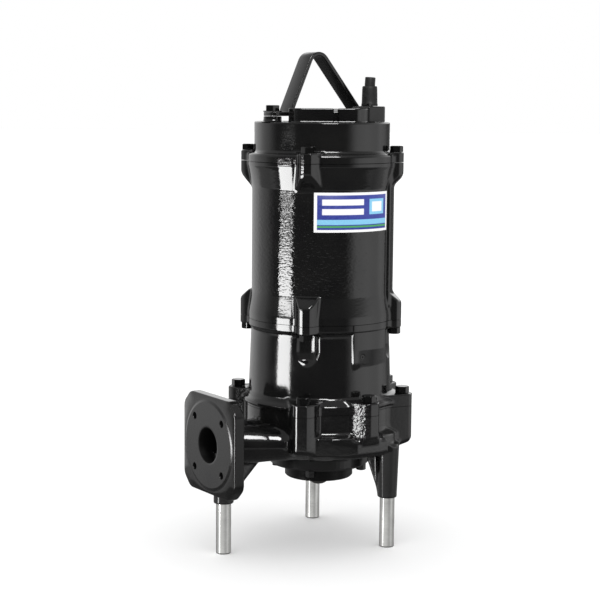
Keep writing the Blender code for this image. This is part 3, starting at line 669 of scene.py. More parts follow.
def sand_faces(piece, columns, heights):
    """Give the faces of the rough flank, the second finish, by their column and row."""
    rough = (columns > ROUGH_ANGLES[0]) & (columns < ROUGH_ANGLES[1])
    level = (heights[:-1] > ROUGH_HEIGHTS[0]) & (heights[:-1] < ROUGH_HEIGHTS[1])
    index = np.zeros(len(piece.data.polygons), np.int32)
    index[:level.size * columns.size] = (level[:, None] & rough[None, :]).ravel()
    piece.data.polygons.foreach_set("material_index", index)


HOUSING_COLUMNS = lug_columns(CASING_LUG_ANGLES, 14, 0.4, 1.0, np.arange(268.5, 273.5, 0.25))
HOUSING_ROWS = knots((HOUSING_FOOT, 214.5, 0.3), (215, 224, 1.2), (224.5, 229, 0.3), (230, 236, 1.5),
                     (238, 270, 4), (272, 283, 1.75), (284, 296, 0.6), (297, 300, 1.5), (302, 320, 3),
                     (321, 323, 1), (323.5, 327, 0.25), (328, 335, 1.4),
                     (335.25, HOUSING_TOP, 0.25))
housing = cast("oil_chamber", housing_field, HOUSING_COLUMNS, HOUSING_ROWS, (142.0, 84.0),
               [CAST_ENAMEL, GRAINY_ENAMEL], "seal_housing")
sand_faces(housing, HOUSING_COLUMNS, HOUSING_ROWS)
print(measure(housing))

# %% [markdown]
# ## The volute casing
#
# The casing holds the impeller. A belly runs round it, the seven lugs reach almost to its foot, and
# a flat panel and a lower pad stand between two of them. Under the front lug, which ends higher than
# the others, the belly swells out. The bosses of two legs grow out of its underside.

# %% Cast the volute casing
CASING_FOOT, CASING_TOP = 137.0, 209.0
PIPE_HEIGHT, PIPE_RADIUS = 163, 30
LEG_CIRCLE = 113.0
CASING_WALL = soft_profile([(CASING_FOOT, 90), (140, 104), (146, 116), (155, 122), (171, 122),
                            (179, 113), (185, 111), (CASING_TOP, 111)], 3.0)
LEG_PLACES = {"leg_discharge": (180, 167.5), "leg_rear": (60, LEG_CIRCLE),
              "leg_front": (300, LEG_CIRCLE)}


def casing_body(radius, z):
    """Turned body of the casing, closed below."""
    return smooth_max(radius - CASING_WALL(z), CASING_FOOT - z, 4.0)


def boss_field(radius, turn, z, angle):
    """Cone frustum round a leg, from 14 mm at its foot to 16.5 mm inside the casing."""
    x = radius * np.cos(turn - math.radians(angle)) - LEG_CIRCLE
    y = radius * np.sin(turn - math.radians(angle))
    return smooth_max(np.hypot(x, y) - (14 + 2.5 * (z - 75) / 77), z - 157, 6.0)


def duct(x, y, z):
    """Discharge pipe, and the throat that widens from it towards the front: the distance from a
    line between (-176, 0) and (-72, -52), less a radius that falls from 30 to 22 mm."""
    share = np.clip(((x + 176) * 104 - y * 52) / (104 ** 2 + 52 ** 2), 0, 1)
    throat = np.sqrt((x + 176 - 104 * share) ** 2 + (y + 52 * share) ** 2
                     + (z - PIPE_HEIGHT + 3 * share) ** 2)
    pipe = np.hypot(y, z - PIPE_HEIGHT) - PIPE_RADIUS
    return smooth_min(pipe, throat - PIPE_RADIUS + 8 * share, 3.0)


def casing_field(radius, turn, z):
    """Body, lugs, panel, lower pad, swell, the duct's root and the tops of two leg bosses."""
    x, y = radius * np.cos(turn), radius * np.sin(turn)
    root = smooth_max(smooth_max(duct(x, y, z), -134.0 - x, 1.0), x + 50, 1.0)
    ends = sloped(radius, fold(turn, 45, 0), z, 139, np.where(at_lug(turn, 270), 173, 155), 3.1)
    lugs = smooth_max(casing_lugs(radius, turn), ends, 6.0)
    casting = smooth_min(smooth_min(casing_body(radius, z), root, 2.5), lugs, 4.0)
    panel = smooth_max(arc_pad(radius, turn, 116.5, 227, 268), 175 - z, 0.4)
    ledge = np.abs(z - 164) - 15 + (radius - 122) / 2
    pad = smooth_max(arc_pad(radius, turn, 127, 228, 259), ledge, 0.6)
    casting = smooth_min(smooth_min(casting, panel, 3.0), pad, 4.0)
    front = radius * np.cos(turn - math.radians(267)) - 132.0
    beside = radius * np.cos(turn - math.radians(235)) - 121.1
    swell = smooth_max(arc_pad(radius, turn, 134, 245, 284, 2.0), smooth_max(front, beside, 1.5), 3.0)
    casting = smooth_min(casting, smooth_max(swell, np.abs(z - 160) - 14, 9.0), 6.0)
    for angle in (60, 300):
        casting = smooth_min(casting, boss_field(radius, turn, z, angle), 6.0)
    return smooth_max(smooth_max(casting, CASING_FOOT - z, 2.0), z - CASING_TOP, 0.08)


CASING_COLUMNS = lug_columns(CASING_LUG_ANGLES, 14, 0.4, 1.5)
CASING_ROWS = knots((CASING_FOOT, 139, 0.4), (140, 158, 1.25), (159, 170, 2), (171, 185, 1.25),
                    (187, 201, 3), (202, 207, 0.7), (207.25, CASING_TOP, 0.25))
casing = cast("volute_shell", casing_field, CASING_COLUMNS, CASING_ROWS, (142.0, 80.0),
              [CAST_ENAMEL, GRAINY_ENAMEL], "volute_casing")
sand_faces(casing, CASING_COLUMNS, CASING_ROWS)
print(measure(casing))

# %% [markdown]
# ## The leg bosses
#
# Each leg is screwed into a boss that is stiffened by a web. A boss is a skin of its own, walked in
# towards the leg's axis. Its field includes the casing, set back by less than half a millimetre, so
# that the boss flares into the casing with a fillet and its hidden end lies inside the metal.

# %% Cast the leg bosses
SET_BACK = 0.4


def polar_of(radius, turn, centre):
    """Radius and angle about the pump's shaft of points given about another upright axis."""
    x = centre[0] + radius * np.cos(turn)
    y = centre[1] + radius * np.sin(turn)
    return np.hypot(x, y), np.arctan2(y, x) % (2 * math.pi)


def side_boss(angle):
    """Boss, web whose edge runs from (101, 78) to (78, 139), and the casing's body."""
    centre = LEG_CIRCLE * np.array([math.cos(math.radians(angle)), math.sin(math.radians(angle))])

    def field(radius, turn, z):
        about, bearing = polar_of(radius, turn, centre)
        along = about * np.cos(bearing - math.radians(angle))
        aside = about * np.sin(bearing - math.radians(angle))
        edge = (-61 * (along - 101) - 23 * (z - 78)) / 65.2
        web = smooth_max(smooth_max(np.abs(aside) - 5, edge, 0.8), along - LEG_CIRCLE, 2.0)
        boss = smooth_min(boss_field(about, bearing, z, angle), web, 4.0)
        boss = smooth_min(boss, casing_body(about, z) + SET_BACK, 6.0)
        return smooth_max(boss, 75.0 - z, 2.0)

    return centre, field


def discharge_boss():
    """Boss of 14.6 mm and a gusset below the discharge pipe, with its edge at 45 degrees."""
    centre = np.array([-167.5, 0.0])

    def field(radius, turn, z):
        x, y = centre[0] + radius * np.cos(turn), radius * np.sin(turn)
        gusset = smooth_max(np.abs(y) - 7, (x - z + 240) / math.sqrt(2), 3.0)
        gusset = smooth_max(gusset, -165.0 - x, 3.0)
        boss = smooth_min(radius - 14.6, gusset, 5.0)
        pipe = smooth_max(np.hypot(y, z - PIPE_HEIGHT) - PIPE_RADIUS, -177.0 - x, 1.0)
        boss = smooth_min(boss, pipe + SET_BACK, 6.0)
        return smooth_max(boss, 75.0 - z, 2.0)

    return centre, field


def cast_boss(name, centre, field, facing, reach, top):
    """Walk one boss in, with columns that crowd towards the thin web."""
    offset = np.concatenate([knots((0, 30, 1.25)), knots((32, 60, 2)), knots((65, 180, 5))])
    columns = np.unique(np.round((facing + np.concatenate([offset, -offset])) % 360, 3))
    heights = knots((75, 77, 0.3), (78, 130, 2.5), (131, top, 1.0))
    return cast(name, field, columns, heights, (reach, 1.0), [CAST_ENAMEL], "volute_casing", centre)


bosses = [cast_boss("boss_rear", *side_boss(60), 240, 36.0, 146),
          cast_boss("boss_front", *side_boss(300), 120, 36.0, 146),
          cast_boss("boss_discharge", *discharge_boss(), 0, 74.0, 150)]
for boss in bosses:
    print(measure(boss))

# %% [markdown]
# ## The discharge branch
#
# The branch is one surface round its own level axis. It starts inside the casing, leaves it with a
# trumpet-shaped fillet, opens into the square flange, turns in over the sealing face and runs back
# down the bore. Four screw holes sit on the face between the grid's lines. So the grid is bent
# there: a square patch of it is drawn in until its inner part is a disc, and the disc is pushed in.

# %% Cast the discharge branch
FACE, RELIEF, BACK = 194.5, 193.0, 176.0
HOLE_PITCH = 37.5 * math.sqrt(2)
PATCH_HALF = 9.0
PATCH_TURN = math.degrees(PATCH_HALF / HOLE_PITCH)
PATCH_LINES = np.array([-1, -0.92, -0.84, -0.7, -0.56, -0.53, -0.5, -0.47, -0.35, -0.23, -0.115])
PATCH_LINES = np.concatenate([PATCH_LINES, [0.0], -PATCH_LINES[::-1]])


def flange_field(radius, turn, out):
    """Square of 144 mm with cut corners, between its back and the relieved face."""
    square = [radius * np.abs(np.cos(turn)) - 72, radius * np.abs(np.sin(turn)) - 72]
    corner = (radius * (np.abs(np.cos(turn)) + np.abs(np.sin(turn))) - 126) / math.sqrt(2)
    plan = smooth_max(smooth_max(square[0], square[1], 3.0), corner, 5.0)
    return smooth_max(smooth_max(plan, BACK - out, 4.0), out - RELIEF, 3.0)


def branch_field(radius, turn, out):
    """Duct, flange and casing body, joined by fillets. Out is measured from the pump's shaft, and
    at 122 mm the branch sinks below the casing's own skin."""
    level, z = radius * np.sin(turn), PIPE_HEIGHT + radius * np.cos(turn)
    body = smooth_max(casing_body(np.hypot(out, level), z), z - 200, 1.0)
    shell = smooth_min(body, duct(-out, level, z), 2.5) + 0.35 * np.tanh((122 - out) / 6)
    return smooth_min(shell, flange_field(radius, turn, out), 9.0)


def pierced_face(columns, radii):
    """Bend the face's grid round the screw holes. Within a patch, m = max(|a|, |b|) of the patch
    coordinates a and b; m up to 0.53 becomes a disc about the hole, and the rest blends to the
    patch's outline. Returns the level and upright place on the face and the depth."""
    turn, radius = np.meshgrid(np.radians(columns), radii)
    middle = np.radians(45 + 90 * np.floor(np.degrees(turn) / 90))
    a = np.degrees(turn - middle) / PATCH_TURN
    b = (radius - HOLE_PITCH) / PATCH_HALF
    m = np.maximum(np.maximum(np.abs(a), np.abs(b)), 1e-6)
    ring = np.interp(m, [0, 0.47, 0.5, 0.53], [0, 4.7, 5.0, 5.5])
    sunk = np.interp(m, [0.47, 0.5, 0.53], [13.0, 0.7, 0.0])
    outline_turn = middle + np.radians(PATCH_TURN * a / m)
    outline_radius = HOLE_PITCH + PATCH_HALF * b / m
    blend = np.clip((m - 0.53) / 0.47, 0, 1)
    reach = np.maximum(np.hypot(a, b), 1e-6)
    up, level = np.cos(middle), np.sin(middle)
    disc_up = HOLE_PITCH * up + ring * (b * up - a * level) / reach
    disc_level = HOLE_PITCH * level + ring * (b * level + a * up) / reach
    bent_up = (1 - blend) * disc_up + blend * outline_radius * np.cos(outline_turn)
    bent_level = (1 - blend) * disc_level + blend * outline_radius * np.sin(outline_turn)
    plain = m >= 1
    return (np.where(plain, radius * np.cos(turn), bent_up),
            np.where(plain, radius * np.sin(turn), bent_level), np.where(plain, 0.0, sunk))


patches = [45 + quarter + PATCH_TURN * PATCH_LINES for quarter in (0, 90, 180, 270)]
between = [quarter + knots((-34, 34, 2.0)) for quarter in (0, 90, 180, 270)]
BRANCH_COLUMNS = np.unique(np.round(np.concatenate(patches + between) % 360, 3))
BRANCH_ROWS = knots((92, 150, 2), (151, 174, 1), (174.5, 180, 0.5), (182, 188, 2),
                    (188.5, 192.7, 0.35))
BRANCH_TURN = np.radians(BRANCH_COLUMNS)[None, :]
branch_radii = follow_rays(branch_field, BRANCH_COLUMNS, BRANCH_ROWS, 94.0, 24.0)
branch_radii = np.where(BRANCH_ROWS[:, None] < 150, np.minimum(branch_radii, 64.0), branch_radii)


def round_branch(radii, out):
    """Points round the branch's level axis. Out has one value for each row."""
    radii, out = np.broadcast_arrays(radii, out[:, None])
    level, up = radii * np.sin(BRANCH_TURN), radii * np.cos(BRANCH_TURN)
    return np.stack([-out, level, PIPE_HEIGHT + up], -1)


outside = round_branch(branch_radii, BRANCH_ROWS)
FACE_RADII = np.concatenate([HOLE_PITCH - PATCH_HALF * PATCH_LINES, [41, 37, 33, 29, 26.2]])
face_up, face_level, sunk = pierced_face(BRANCH_COLUMNS, FACE_RADII)
face = np.stack([sunk - FACE, face_level, PIPE_HEIGHT + face_up], -1)
LIP = np.array([(68.0, RELIEF), (66.6, RELIEF), (66.0, 193.1), (65.4, 193.3), (63.1, 194.25),
                (62.6, 194.42), (62.0, FACE)])
BORE = np.array([(25.5, 194.2), (25, 193.6), (25, 170), (25, 140), (25, 100), (24, 99)])
every_column = np.ones(BRANCH_COLUMNS.size)
lip, bore = [round_branch(profile[:, :1] * every_column, profile[:, 1]) for profile in (LIP, BORE)]
branch = closed_skin("discharge_branch", np.concatenate([outside, lip, face, bore]),
                     [CAST_ENAMEL, FLANGE_FINISH, BORE_PAINTED_SHADE, RIM_PAINTED_SHADE])
print(measure(branch))

# %% [markdown]
# ## The branch's finishes
#
# The branch is one skin with four finishes. Its sealing face was machined. The bore and the screw
# holes get a darker, duller enamel as painted shade, and the front of the flange's rim one with
# weaker reflection as painted shade. The faces of a grid are numbered row by row, so a face's row
# and column say which finish it gets.

# %% Give the branch its finishes
# Where the painted shade goes: the rim's rows, the half angle of its front part, and the bore's depth.
RIM_OUT = (177, 190)
RIM_HALF_ANGLE = 36
BORE_DEPTH = 9.0


def branch_finishes(face_count):
    """Finish of every face: 1 on the lip and the sealing face, 2 (painted shade) in the bore and the
    screw holes, 3 (painted shade) on the part of the flange's rim that faces the front, and 0
    elsewhere."""
    row, column = np.divmod(np.arange(face_count), BRANCH_COLUMNS.size)
    out = BRANCH_ROWS[np.minimum(row, BRANCH_ROWS.size - 1)]
    rim = (row < BRANCH_ROWS.size) & (out > RIM_OUT[0]) & (out < RIM_OUT[1])
    machined = (row >= len(outside)) & (row < len(outside) + len(lip) + len(face) + 1)
    index = machined.astype(np.int32)
    # Painted shade on the part of the flange's rim that faces the front.
    index[rim & (np.abs(BRANCH_COLUMNS[column] - 270) < RIM_HALF_ANGLE)] = 3
    depth = np.concatenate([np.zeros((len(outside) + len(lip), BRANCH_COLUMNS.size)), sunk,
                            np.full((len(bore), BRANCH_COLUMNS.size), BORE_DEPTH)])
    deeper = np.maximum(depth[:-1], depth[1:])
    deeper = np.maximum(deeper, np.roll(deeper, -1, 1)).ravel()
    # Painted shade on faces sunk more than a millimetre, in the bore and the screw holes.
    index[:deeper.size][deeper > 1.0] = 2
    return index


finish_index = branch_finishes(len(branch.data.polygons))
branch.data.polygons.foreach_set("material_index", finish_index)
fit_out(branch, "volute_casing")
print("faces with each finish:", np.bincount(finish_index).tolist())

# %% [markdown]
# ## The top cover
#
# The cap closes the barrel. Its rim carries four short ears over the barrel's lugs, and above the
# rim it steps in and ends in a flat top with a rounded edge.

# %% Cast the top cover
CAP_FOOT, CAP_TOP = 568.3, 626.0
CAP_WALL = soft_profile([(CAP_FOOT, 109), (578, 109), (580.5, 107), (582, 101.5), (585, 99.6),
                         (CAP_TOP, 99.6)], 1.5)


def cap_field(radius, turn, z):
    """Turned cap with four ears up to 583 mm and a rounded top edge."""
    ears = smooth_max(lug(radius, fold(turn, 90, 45), FRAME_LUG), z - 583, 2.0)
    cap = smooth_min(radius - CAP_WALL(z), ears, 5.0)
    return smooth_max(smooth_max(cap, CAP_FOOT - z, 0.5), z - CAP_TOP, 2.6)


CAP_ROWS = knots((CAP_FOOT, 570.3, 0.25), (571, 580, 1.5), (580.5, 586, 0.3), (587, 622, 2.5),
                 (623, CAP_TOP, 0.2))
cap = cast("cap", cap_field, FRAME_COLUMNS, CAP_ROWS, (124.0, 80.0), [CAP_ENAMEL], "top_cover")
print(measure(cap))

# %% [markdown]
# ## What stands on the cap
#
# A raised pad covers the terminals. It was milled along a slanting slot, so it is made of a left
# block, a right block and a lower bed between them. Two low bosses carry the handle. Each has a
# fillet at its foot, and each is walked in towards its own middle.

# %% Raise the pad and the handle's bosses
PAD = [(-73, -17), (-71, -40), (9, -80), (30, -73), (39, -62), (39, -18)]
SLOT_TURN = math.radians(-28)


def inside_outline(outline, soft):
    """Field of an upright prism: the shared part of one half-plane for each side."""
    corners = np.array(outline, float)
    sides = np.roll(corners, -1, axis=0) - corners
    normals = np.stack([sides[:, 1], -sides[:, 0]], -1) / np.linalg.norm(sides, axis=1)[:, None]

    def field(x, y):
        total = normals[0, 0] * (x - corners[0, 0]) + normals[0, 1] * (y - corners[0, 1])
        for corner, normal in zip(corners[1:], normals[1:]):
            plane = normal[0] * (x - corner[0]) + normal[1] * (y - corner[1])
            total = smooth_max(total, plane, soft)
        return total

    return field


def stand_on_cap(name, outline, centre, top, reach, fillet=2.5, edge=2.0):
    """Skin of a prism that stands on the cap's top with a fillet and a rounded upper edge."""
    def field(radius, turn, z):
        x, y = centre[0] + radius * np.cos(turn), centre[1] + radius * np.sin(turn)
        block = smooth_min(outline(x, y), z - 625.9, fillet)
        return smooth_max(block, z - top, edge)

    heights = knots((626.05, 626.8, 0.15), (627, 631, 0.5), (631.5, top - 3, 2.5),
                    (top - 2.5, top, 0.25))
    return cast(name, field, np.arange(0, 360, 3.0), heights, (reach, 1.0), [CAP_ENAMEL],
                "top_cover", centre, 0.6)


def beside_slot(side, edge):
    """The pad's outline on one side of the slot, whose lines are turned by -28 degrees."""
    outline = inside_outline(PAD, 5.0)

    def field(x, y):
        across = x * math.cos(SLOT_TURN) + y * math.sin(SLOT_TURN)
        return smooth_max(outline(x, y), side * (across - edge), 1.5)

    return field


pad_outline = inside_outline(PAD, 5.0)
raised = [
    stand_on_cap("pad_left", beside_slot(1, 9.0), (-24.0, -38.0), 646.0, 70.0),
    stand_on_cap("pad_right", beside_slot(-1, 15.0), (24.0, -40.0), 646.0, 60.0),
    stand_on_cap("pad_bed", lambda x, y: pad_outline(x, y) + 4.5, (-10.0, -45.0), 641.3, 80.0),
]
for side, x in (("left", -87.0), ("right", 81.0)):
    disc = lambda px, py, x=x: np.hypot(px - x, py) - 13.0
    raised.append(stand_on_cap(f"handle_boss_{side}", disc, (x, 0.0), 634.0, 22.0, 5.0, 1.5))
for piece in raised:
    print(measure(piece))

# %% [markdown]
# ## The lifting handle
#
# The handle is a flat steel strap, bent to a leaning A, with a foot at each side. A rounded
# rectangle is carried along the bent centreline. Near each end the strap narrows along a quarter
# circle, because the corners of its feet are rounded.

# %% Bend the lifting handle
def rounded_path(corners, steps=12):
    """Points of a path whose corners are arcs: the arc's centre lies on the bisector at
    r / sin(half the corner's angle), and the arc is walked in even steps."""
    path = [np.array([corners[0][:2]], float)]
    for before, corner, after in zip(corners, corners[1:], corners[2:]):
        here = np.array(corner[:2], float)
        back = np.array(before[:2]) - here
        ahead = np.array(after[:2]) - here
        back, ahead = back / np.linalg.norm(back), ahead / np.linalg.norm(ahead)
        half = math.acos(float(back @ ahead)) / 2
        bisector = (back + ahead) / np.linalg.norm(back + ahead)
        centre = here + bisector * corner[2] / math.sin(half)
        first = np.arctan2(*(here + back * corner[2] / math.tan(half) - centre)[::-1])
        last = np.arctan2(*(here + ahead * corner[2] / math.tan(half) - centre)[::-1])
        sweep = (last - first + math.pi) % (2 * math.pi) - math.pi
        angles = first + sweep * np.linspace(0, 1, steps + 1)
        path.append(centre + corner[2] * np.stack([np.cos(angles), np.sin(angles)], -1))
    path.append(np.array([corners[-1][:2]], float))
    return np.concatenate(path)


def fine_path(path, spacing):
    """Spread points evenly along a path, by its arc length."""
    length = np.concatenate([[0], np.cumsum(np.linalg.norm(np.diff(path, axis=0), axis=1))])
    even = np.linspace(0, length[-1], int(length[-1] / spacing) + 1)
    return np.stack([np.interp(even, length, path[:, axis]) for axis in (0, 1)], -1), even


def strap_section(half_width, half_thickness, edge, steps=5):
    """Rounded rectangle as (across, through) pairs, anticlockwise."""
    turn = np.linspace(0, math.pi / 2, steps + 1)
    corner = np.stack([np.cos(turn), np.sin(turn)], -1) * edge
    quarter = corner + np.array([half_width - edge, half_thickness - edge])
    return np.concatenate([quarter, quarter[::-1] * [-1, 1], -quarter, quarter[::-1] * [1, -1]])


HANDLE_LINE = [(-95.4, 637.1, 0), (-65, 637.1, 8), (-20.5, 738.5, 16), (63, 637.1, 8),
               (94, 637.1, 0)]
STRAP_HALF_WIDTH = 15.0
FOOT_CORNER = 6
line, reached = fine_path(rounded_path(HANDLE_LINE), 1.6)
tangent = np.gradient(line, axis=0)
tangent /= np.linalg.norm(tangent, axis=1)[:, None]
section = strap_section(STRAP_HALF_WIDTH, 2.8, 1.1)
end = np.minimum(reached, reached[-1] - reached)
arc = FOOT_CORNER - np.sqrt(np.maximum(FOOT_CORNER ** 2 - (FOOT_CORNER - end) ** 2, 0))
narrowed = np.where(end < FOOT_CORNER, arc, 0.0)
across = section[None, :, 0] * (1 - narrowed[:, None] / STRAP_HALF_WIDTH)
through = np.broadcast_to(section[None, :, 1], across.shape)
strap = np.stack([line[:, None, 0] - tangent[:, None, 1] * through, -across,
                  line[:, None, 1] + tangent[:, None, 0] * through], -1)
handle = closed_skin("handle_strap", strap, [HANDLE_ENAMEL])
fit_out(handle, "lifting_handle")
print(measure(handle), "strap length:", round(float(reached[-1])), "mm")

# %% [markdown]
# ## Bolts
#
# A bolt head is a hexagon cut by a cone, which leaves an arc at the top of each flat. Both are
# radii that depend on the angle and the height, and the head is the lesser of the two. The same
# skin, laid along different axes, makes all the bolts of the pump.

# %% Turn and mill the bolts
def placed(points, origin, down=False, turn=0.0):
    """Carry points from a bolt's own frame to the pump's, turned about the bolt or laid head down."""
    c, s = math.cos(turn), math.sin(turn)
    flip = -1.0 if down else 1.0
    matrix = np.array([[c, -s * flip, 0], [s, c * flip, 0], [0, 0, flip]])
    return points @ matrix.T + np.array(origin)


CHAMFER_SLOPE = 1.732
FRAME_BOLTS, CASING_BOLTS, SUCTION_BOLTS = 111, 125, 64.5


def hex_bolt(name, across, thickness, origin, node, down=False, washer=0.0, turn=0.0):
    """Hexagon head with a chamfered top: min(hexagon, cone), on an optional washer. The thickness
    counts from the washer's foot."""
    flat = across / 2
    degrees = np.arange(0, 360, 5.0)
    hexagon = flat / np.cos(fold(np.radians(degrees), 60, 30))
    heights = np.concatenate([[washer + 0.05, washer + 0.4],
                              np.linspace(thickness - 3.2, thickness, 11)])
    cone = flat * 0.97 + (thickness - heights[:, None]) * CHAMFER_SLOPE
    cone = np.minimum(cone, flat * 1.14)
    radii = np.minimum(hexagon[None, :], cone)
    if washer:
        ring = across * 0.72
        rim = np.array([ring - 0.4, ring, ring, ring - 0.4, flat * 0.98])
        radii = np.concatenate([np.broadcast_to(rim[:, None], (5, degrees.size)), radii])
        heights = np.concatenate([[0, 0.4, washer - 0.4, washer, washer], heights])
    dished = np.array([flat * 0.9, flat * 0.5])
    radii = np.concatenate([radii, np.broadcast_to(dished[:, None], (2, degrees.size))])
    heights = np.concatenate([heights, [thickness + 0.02, thickness - 0.12]])
    grid = placed(around(radii, degrees, heights), origin, down, turn)
    piece = closed_skin(name, grid, [BOLT_ENAMEL], 28.0)
    return fit_out(piece, node)


def on_circle(radius, angle, z):
    """Point on a circle about the shaft."""
    return (radius * math.cos(math.radians(angle)), radius * math.sin(math.radians(angle)), z)


bolts = []
for number, angle in enumerate(FRAME_LUG_ANGLES, start=1):
    for kind, across, thickness, circle, height, down in (
            ("cover", 17, 9, FRAME_BOLTS, 583.3, False), ("housing", 17, 9, FRAME_BOLTS, 324.7, True),
            ("suction", 13, 9.5, SUCTION_BOLTS, 116.7, True)):
        bolts.append(hex_bolt(f"{kind}_bolt_head_{number}", across, thickness,
                              on_circle(circle, angle, height), f"{kind}_bolt_{number}", down,
                              turn=math.radians(angle + 17 * number)))
for number, angle in enumerate(CASING_LUG_ANGLES, start=1):
    bolts.append(hex_bolt(f"casing_bolt_head_{number}", 18, 10, on_circle(CASING_BOLTS, angle, 227.3),
                          f"casing_bolt_{number}", turn=math.radians(18 + 5 * (number % 3))))
for side, x in (("left", -87.0), ("right", 81.0)):
    bolts.append(hex_bolt(f"handle_bolt_head_{side}", 19, 9.5, (x, 0.0, 640.2),
                          f"handle_bolt_{side}", washer=1.6))
for number, (x, y) in enumerate(((44.5, -54.5), (65.5, -29.5)), start=1):
    bolts.append(hex_bolt(f"gland_screw_head_{number}", 6, 3.6, (x, y, 649.6),
                          f"gland_screw_{number}"))
print("bolts:", len(bolts), "of", len(bolts[0].data.polygons), "faces")

# %% [markdown]
# ## Turned parts
#
# Legs, the cable's boot and its cut end are turned about upright axes: a profile of radius and
# height is carried round. The legs end in small chamfers and the boot in a soft lip. The cable's end
# leans a little.

# %% Turn the legs, the boot and the cable's end
def lathe(name, profile, centre, finish, columns=96, lean=0.0):
    """Carry (radius, height) pairs round an upright axis, or one that leans towards +X."""
    radii, heights = np.array(profile, float).T
    degrees = np.arange(columns) * 360.0 / columns
    points = around(np.broadcast_to(radii[:, None], (radii.size, columns)), degrees, heights)
    if lean:
        c, s = math.cos(lean), math.sin(lean)
        points = points @ np.array([[c, 0, s], [0, 1, 0], [-s, 0, c]]).T
    return closed_skin(name, points + np.array(centre), [finish], 40.0)


LEG = [(9.6, 0.0), (10.4, 0.15), (10.85, 0.6), (11, 1.3), (11, 2.0), (11, 3.5), (11, 20),
       (11, 40), (11, 60), (11, 74), (11, 92.5), (10.5, 93)]
CABLE_X, CABLE_Y, BOOT_TOP = 55.0, -42.0, 678.4
BOOT = [(11.4, 649.6), (12, 650.0), (12, 652.2), (11.9, 652.7), (11.6, 653.2), (11.4, 659),
        (11.3, 666), (11.0, 674), (10.8, 677.0), (10.4, 678.0), (9.8, BOOT_TOP), (8.1, BOOT_TOP),
        (7.8, 678.0), (7.8, 673)]
STUB = [(7.6, -5.0), (7.6, 4.0), (7.6, 11.9), (7.4, 12.5), (6.9, 12.8), (4.6, 12.8), (4.2, 12.4)]
STUB_LEAN = math.radians(4)
for name, (angle, radius) in LEG_PLACES.items():
    leg = lathe(f"{name}_rod", LEG, on_circle(radius, angle, 0.0), STAINLESS)
    fit_out(leg, name)
boot = lathe("gland_boot", BOOT, (CABLE_X, CABLE_Y, 0.0), RUBBER, 72)
fit_out(boot, "cable_boot")
stub = lathe("cable_end", STUB, (CABLE_X, CABLE_Y, BOOT_TOP), RUBBER, 60, STUB_LEAN)
fit_out(stub, "cable_stub")
print("legs:", list(LEG_PLACES))
print(measure(boot))
print(measure(stub))

# %% [markdown]
# ## The cable entry box
#
# The cable enters through a small cast box beside the pad, below the boot. It is a prism with one cut
# corner, painted in a duller enamel. Its outline is the shared part of five half-planes, as the pad's
# is, and all its edges are rounded.

# %% Cast the cable entry box
ENTRY = inside_outline([(40, -61), (68, -61), (74, -55), (74, -20), (40, -20)], 1.5)
ENTRY_MIDDLE = (57.0, -40.0)


def entry_field(radius, turn, z):
    """Box with one cut corner and rounded edges."""
    x, y = ENTRY_MIDDLE[0] + radius * np.cos(turn), ENTRY_MIDDLE[1] + radius * np.sin(turn)
    return smooth_max(smooth_max(ENTRY(x, y), z - 649.3, 2.0), 626.3 - z, 1.0)


entry = cast("entry_box", entry_field, np.arange(0, 360, 2.0),
             knots((626.3, 627.3, 0.25), (629, 647, 2), (647.3, 649.3, 0.25)), (40.0, 1.0),
             [ENTRY_ENAMEL], "cable_entry_box", ENTRY_MIDDLE)
print(measure(entry))

# %% [markdown]
# ## The rating plate
#
# A thin printed plate is bent round the barrel. Its cross-section, an arc there and an arc back, is
# carried upwards, and its UV map unrolls it: u along the arc and v along the height. The print is
# drawn in those coordinates with plain bands.

# %% Print and bend the rating plate
PLATE_ARC = (229.5, 301.5)
PLATE_HEIGHTS = (471.0, 527.5)
PLATE_RADII = (102.8, 103.6)


def box_mask(tree, u, v, left, right, low, high, soft=0.004):
    """One inside a rectangle of the UV map and nought outside, with a soft edge."""
    inside = None
    for value, start, stop, width in ((u, left, right, soft), (v, low, high, soft * 1.6)):
        middle, half = (start + stop) / 2, (stop - start) / 2
        away = math_node(tree, "ABSOLUTE", math_node(tree, "SUBTRACT", value, middle))
        side = add_node(tree, "ShaderNodeMapRange", None, Value=away, From_Min=half + width,
                        From_Max=half - width).outputs[0]
        inside = side if inside is None else math_node(tree, "MULTIPLY", inside, side)
    return inside


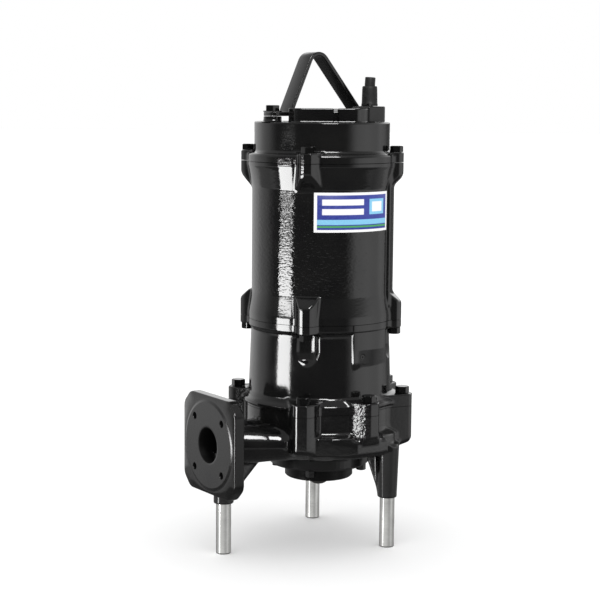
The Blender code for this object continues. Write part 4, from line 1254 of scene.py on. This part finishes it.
def printed_plate():
    """Blue plate with a white border, plain white bars and two coloured bands."""
    finish = bpy.data.materials.new("printed_plate")
    finish.use_nodes = True
    tree = finish.node_tree
    shader = tree.nodes["Principled BSDF"]
    uv = add_node(tree, "ShaderNodeUVMap", {"uv_map": "print"}).outputs[0]
    axes = add_node(tree, "ShaderNodeSeparateXYZ", None, Vector=uv).outputs
    u, v = axes["X"], axes["Y"]
    place = add_node(tree, "ShaderNodeTexCoord").outputs["Object"]
    speck = noise(tree, place, 300.0, 3.0)
    colour = ramp(tree, speck, [(0.3, (0.018, 0.032, 0.27)), (0.7, (0.028, 0.048, 0.34))])
    white, sky, green = (0.88, 0.88, 0.90), (0.22, 0.55, 0.80), (0.07, 0.36, 0.10)
    prints = [
        (sky, 0.034, 0.966, 0.19, 0.32), (green, 0.034, 0.966, 0.12, 0.165),
        (white, 0.09, 0.58, 0.68, 0.83), (white, 0.09, 0.58, 0.44, 0.59),
        (sky, 0.66, 0.91, 0.44, 0.83), (white, 0.70, 0.87, 0.51, 0.76),
    ]
    for shade, left, right, low, high in prints:
        mask = box_mask(tree, u, v, left, right, low, high)
        colour = add_node(tree, "ShaderNodeMix", {"data_type": "RGBA"}, i0=mask, i6=colour,
                          i7=(*shade, 1.0)).outputs[2]
    field = box_mask(tree, u, v, 0.034, 0.966, 0.065, 0.935)
    colour = add_node(tree, "ShaderNodeMix", {"data_type": "RGBA"}, i0=field,
                      i6=(0.93, 0.93, 0.93, 1.0), i7=colour).outputs[2]
    rub = span(tree, speck, 0.3, 0.7, 0.30, 0.45)
    connect(tree, shader, Base_Color=colour, Roughness=rub)
    return finish


def bend_plate(name, finish):
    """Carry an arc there and an arc back up the barrel, with thin bevels at both ends, and unroll
    the skin into the UV map "print"."""
    arc = np.linspace(*PLATE_ARC, 73)
    degrees = np.concatenate([arc, arc[::-1]])
    radii = np.concatenate([np.full(arc.size, PLATE_RADII[1]), np.full(arc.size, PLATE_RADII[0])])
    low, high = PLATE_HEIGHTS
    heights = np.array([low, low + 0.3, 499.0, high - 0.3, high])
    inset = np.array([0.2, 0.0, 0.0, 0.0, 0.2])[:, None]
    rows = radii - inset * (radii == PLATE_RADII[1])
    plate = closed_skin(name, around(rows, degrees, heights), [finish])
    unrolled = np.zeros((len(plate.data.vertices), 2))
    along = (degrees - PLATE_ARC[0]) / (PLATE_ARC[1] - PLATE_ARC[0])
    unrolled[:rows.size, 0] = np.tile(along, heights.size)
    unrolled[:rows.size, 1] = np.repeat((heights - low) / (high - low), degrees.size)
    loop_vertices = np.zeros(len(plate.data.loops), np.int32)
    plate.data.loops.foreach_get("vertex_index", loop_vertices)
    layer = plate.data.uv_layers.new(name="print")
    layer.data.foreach_set("uv", unrolled[loop_vertices].ravel())
    return plate


plate = bend_plate("rating_plate_print", printed_plate())
fit_out(plate, "rating_plate")
print(measure(plate))

# %% [markdown]
# ## What stays as it was packed
#
# The suction side is seen only from below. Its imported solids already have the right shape: the cover,
# the slotted ring, the cutter with its nut, the shaft and the oil plug. They get new finishes.

# %% Finish the suction side
FINISH_OF = {
    "suction_cover": ENTRY_ENAMEL, "grinder_ring": BLACK_STEEL, "grinder_cutter": CUTTING_STEEL,
    "cutter_nut": CUTTING_STEEL, "pump_shaft": STAINLESS, "oil_plug": BOLT_ENAMEL,
}
for name, finish in FINISH_OF.items():
    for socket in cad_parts[name].material_slots:
        socket.material = finish
print("finished:", ", ".join(FINISH_OF))
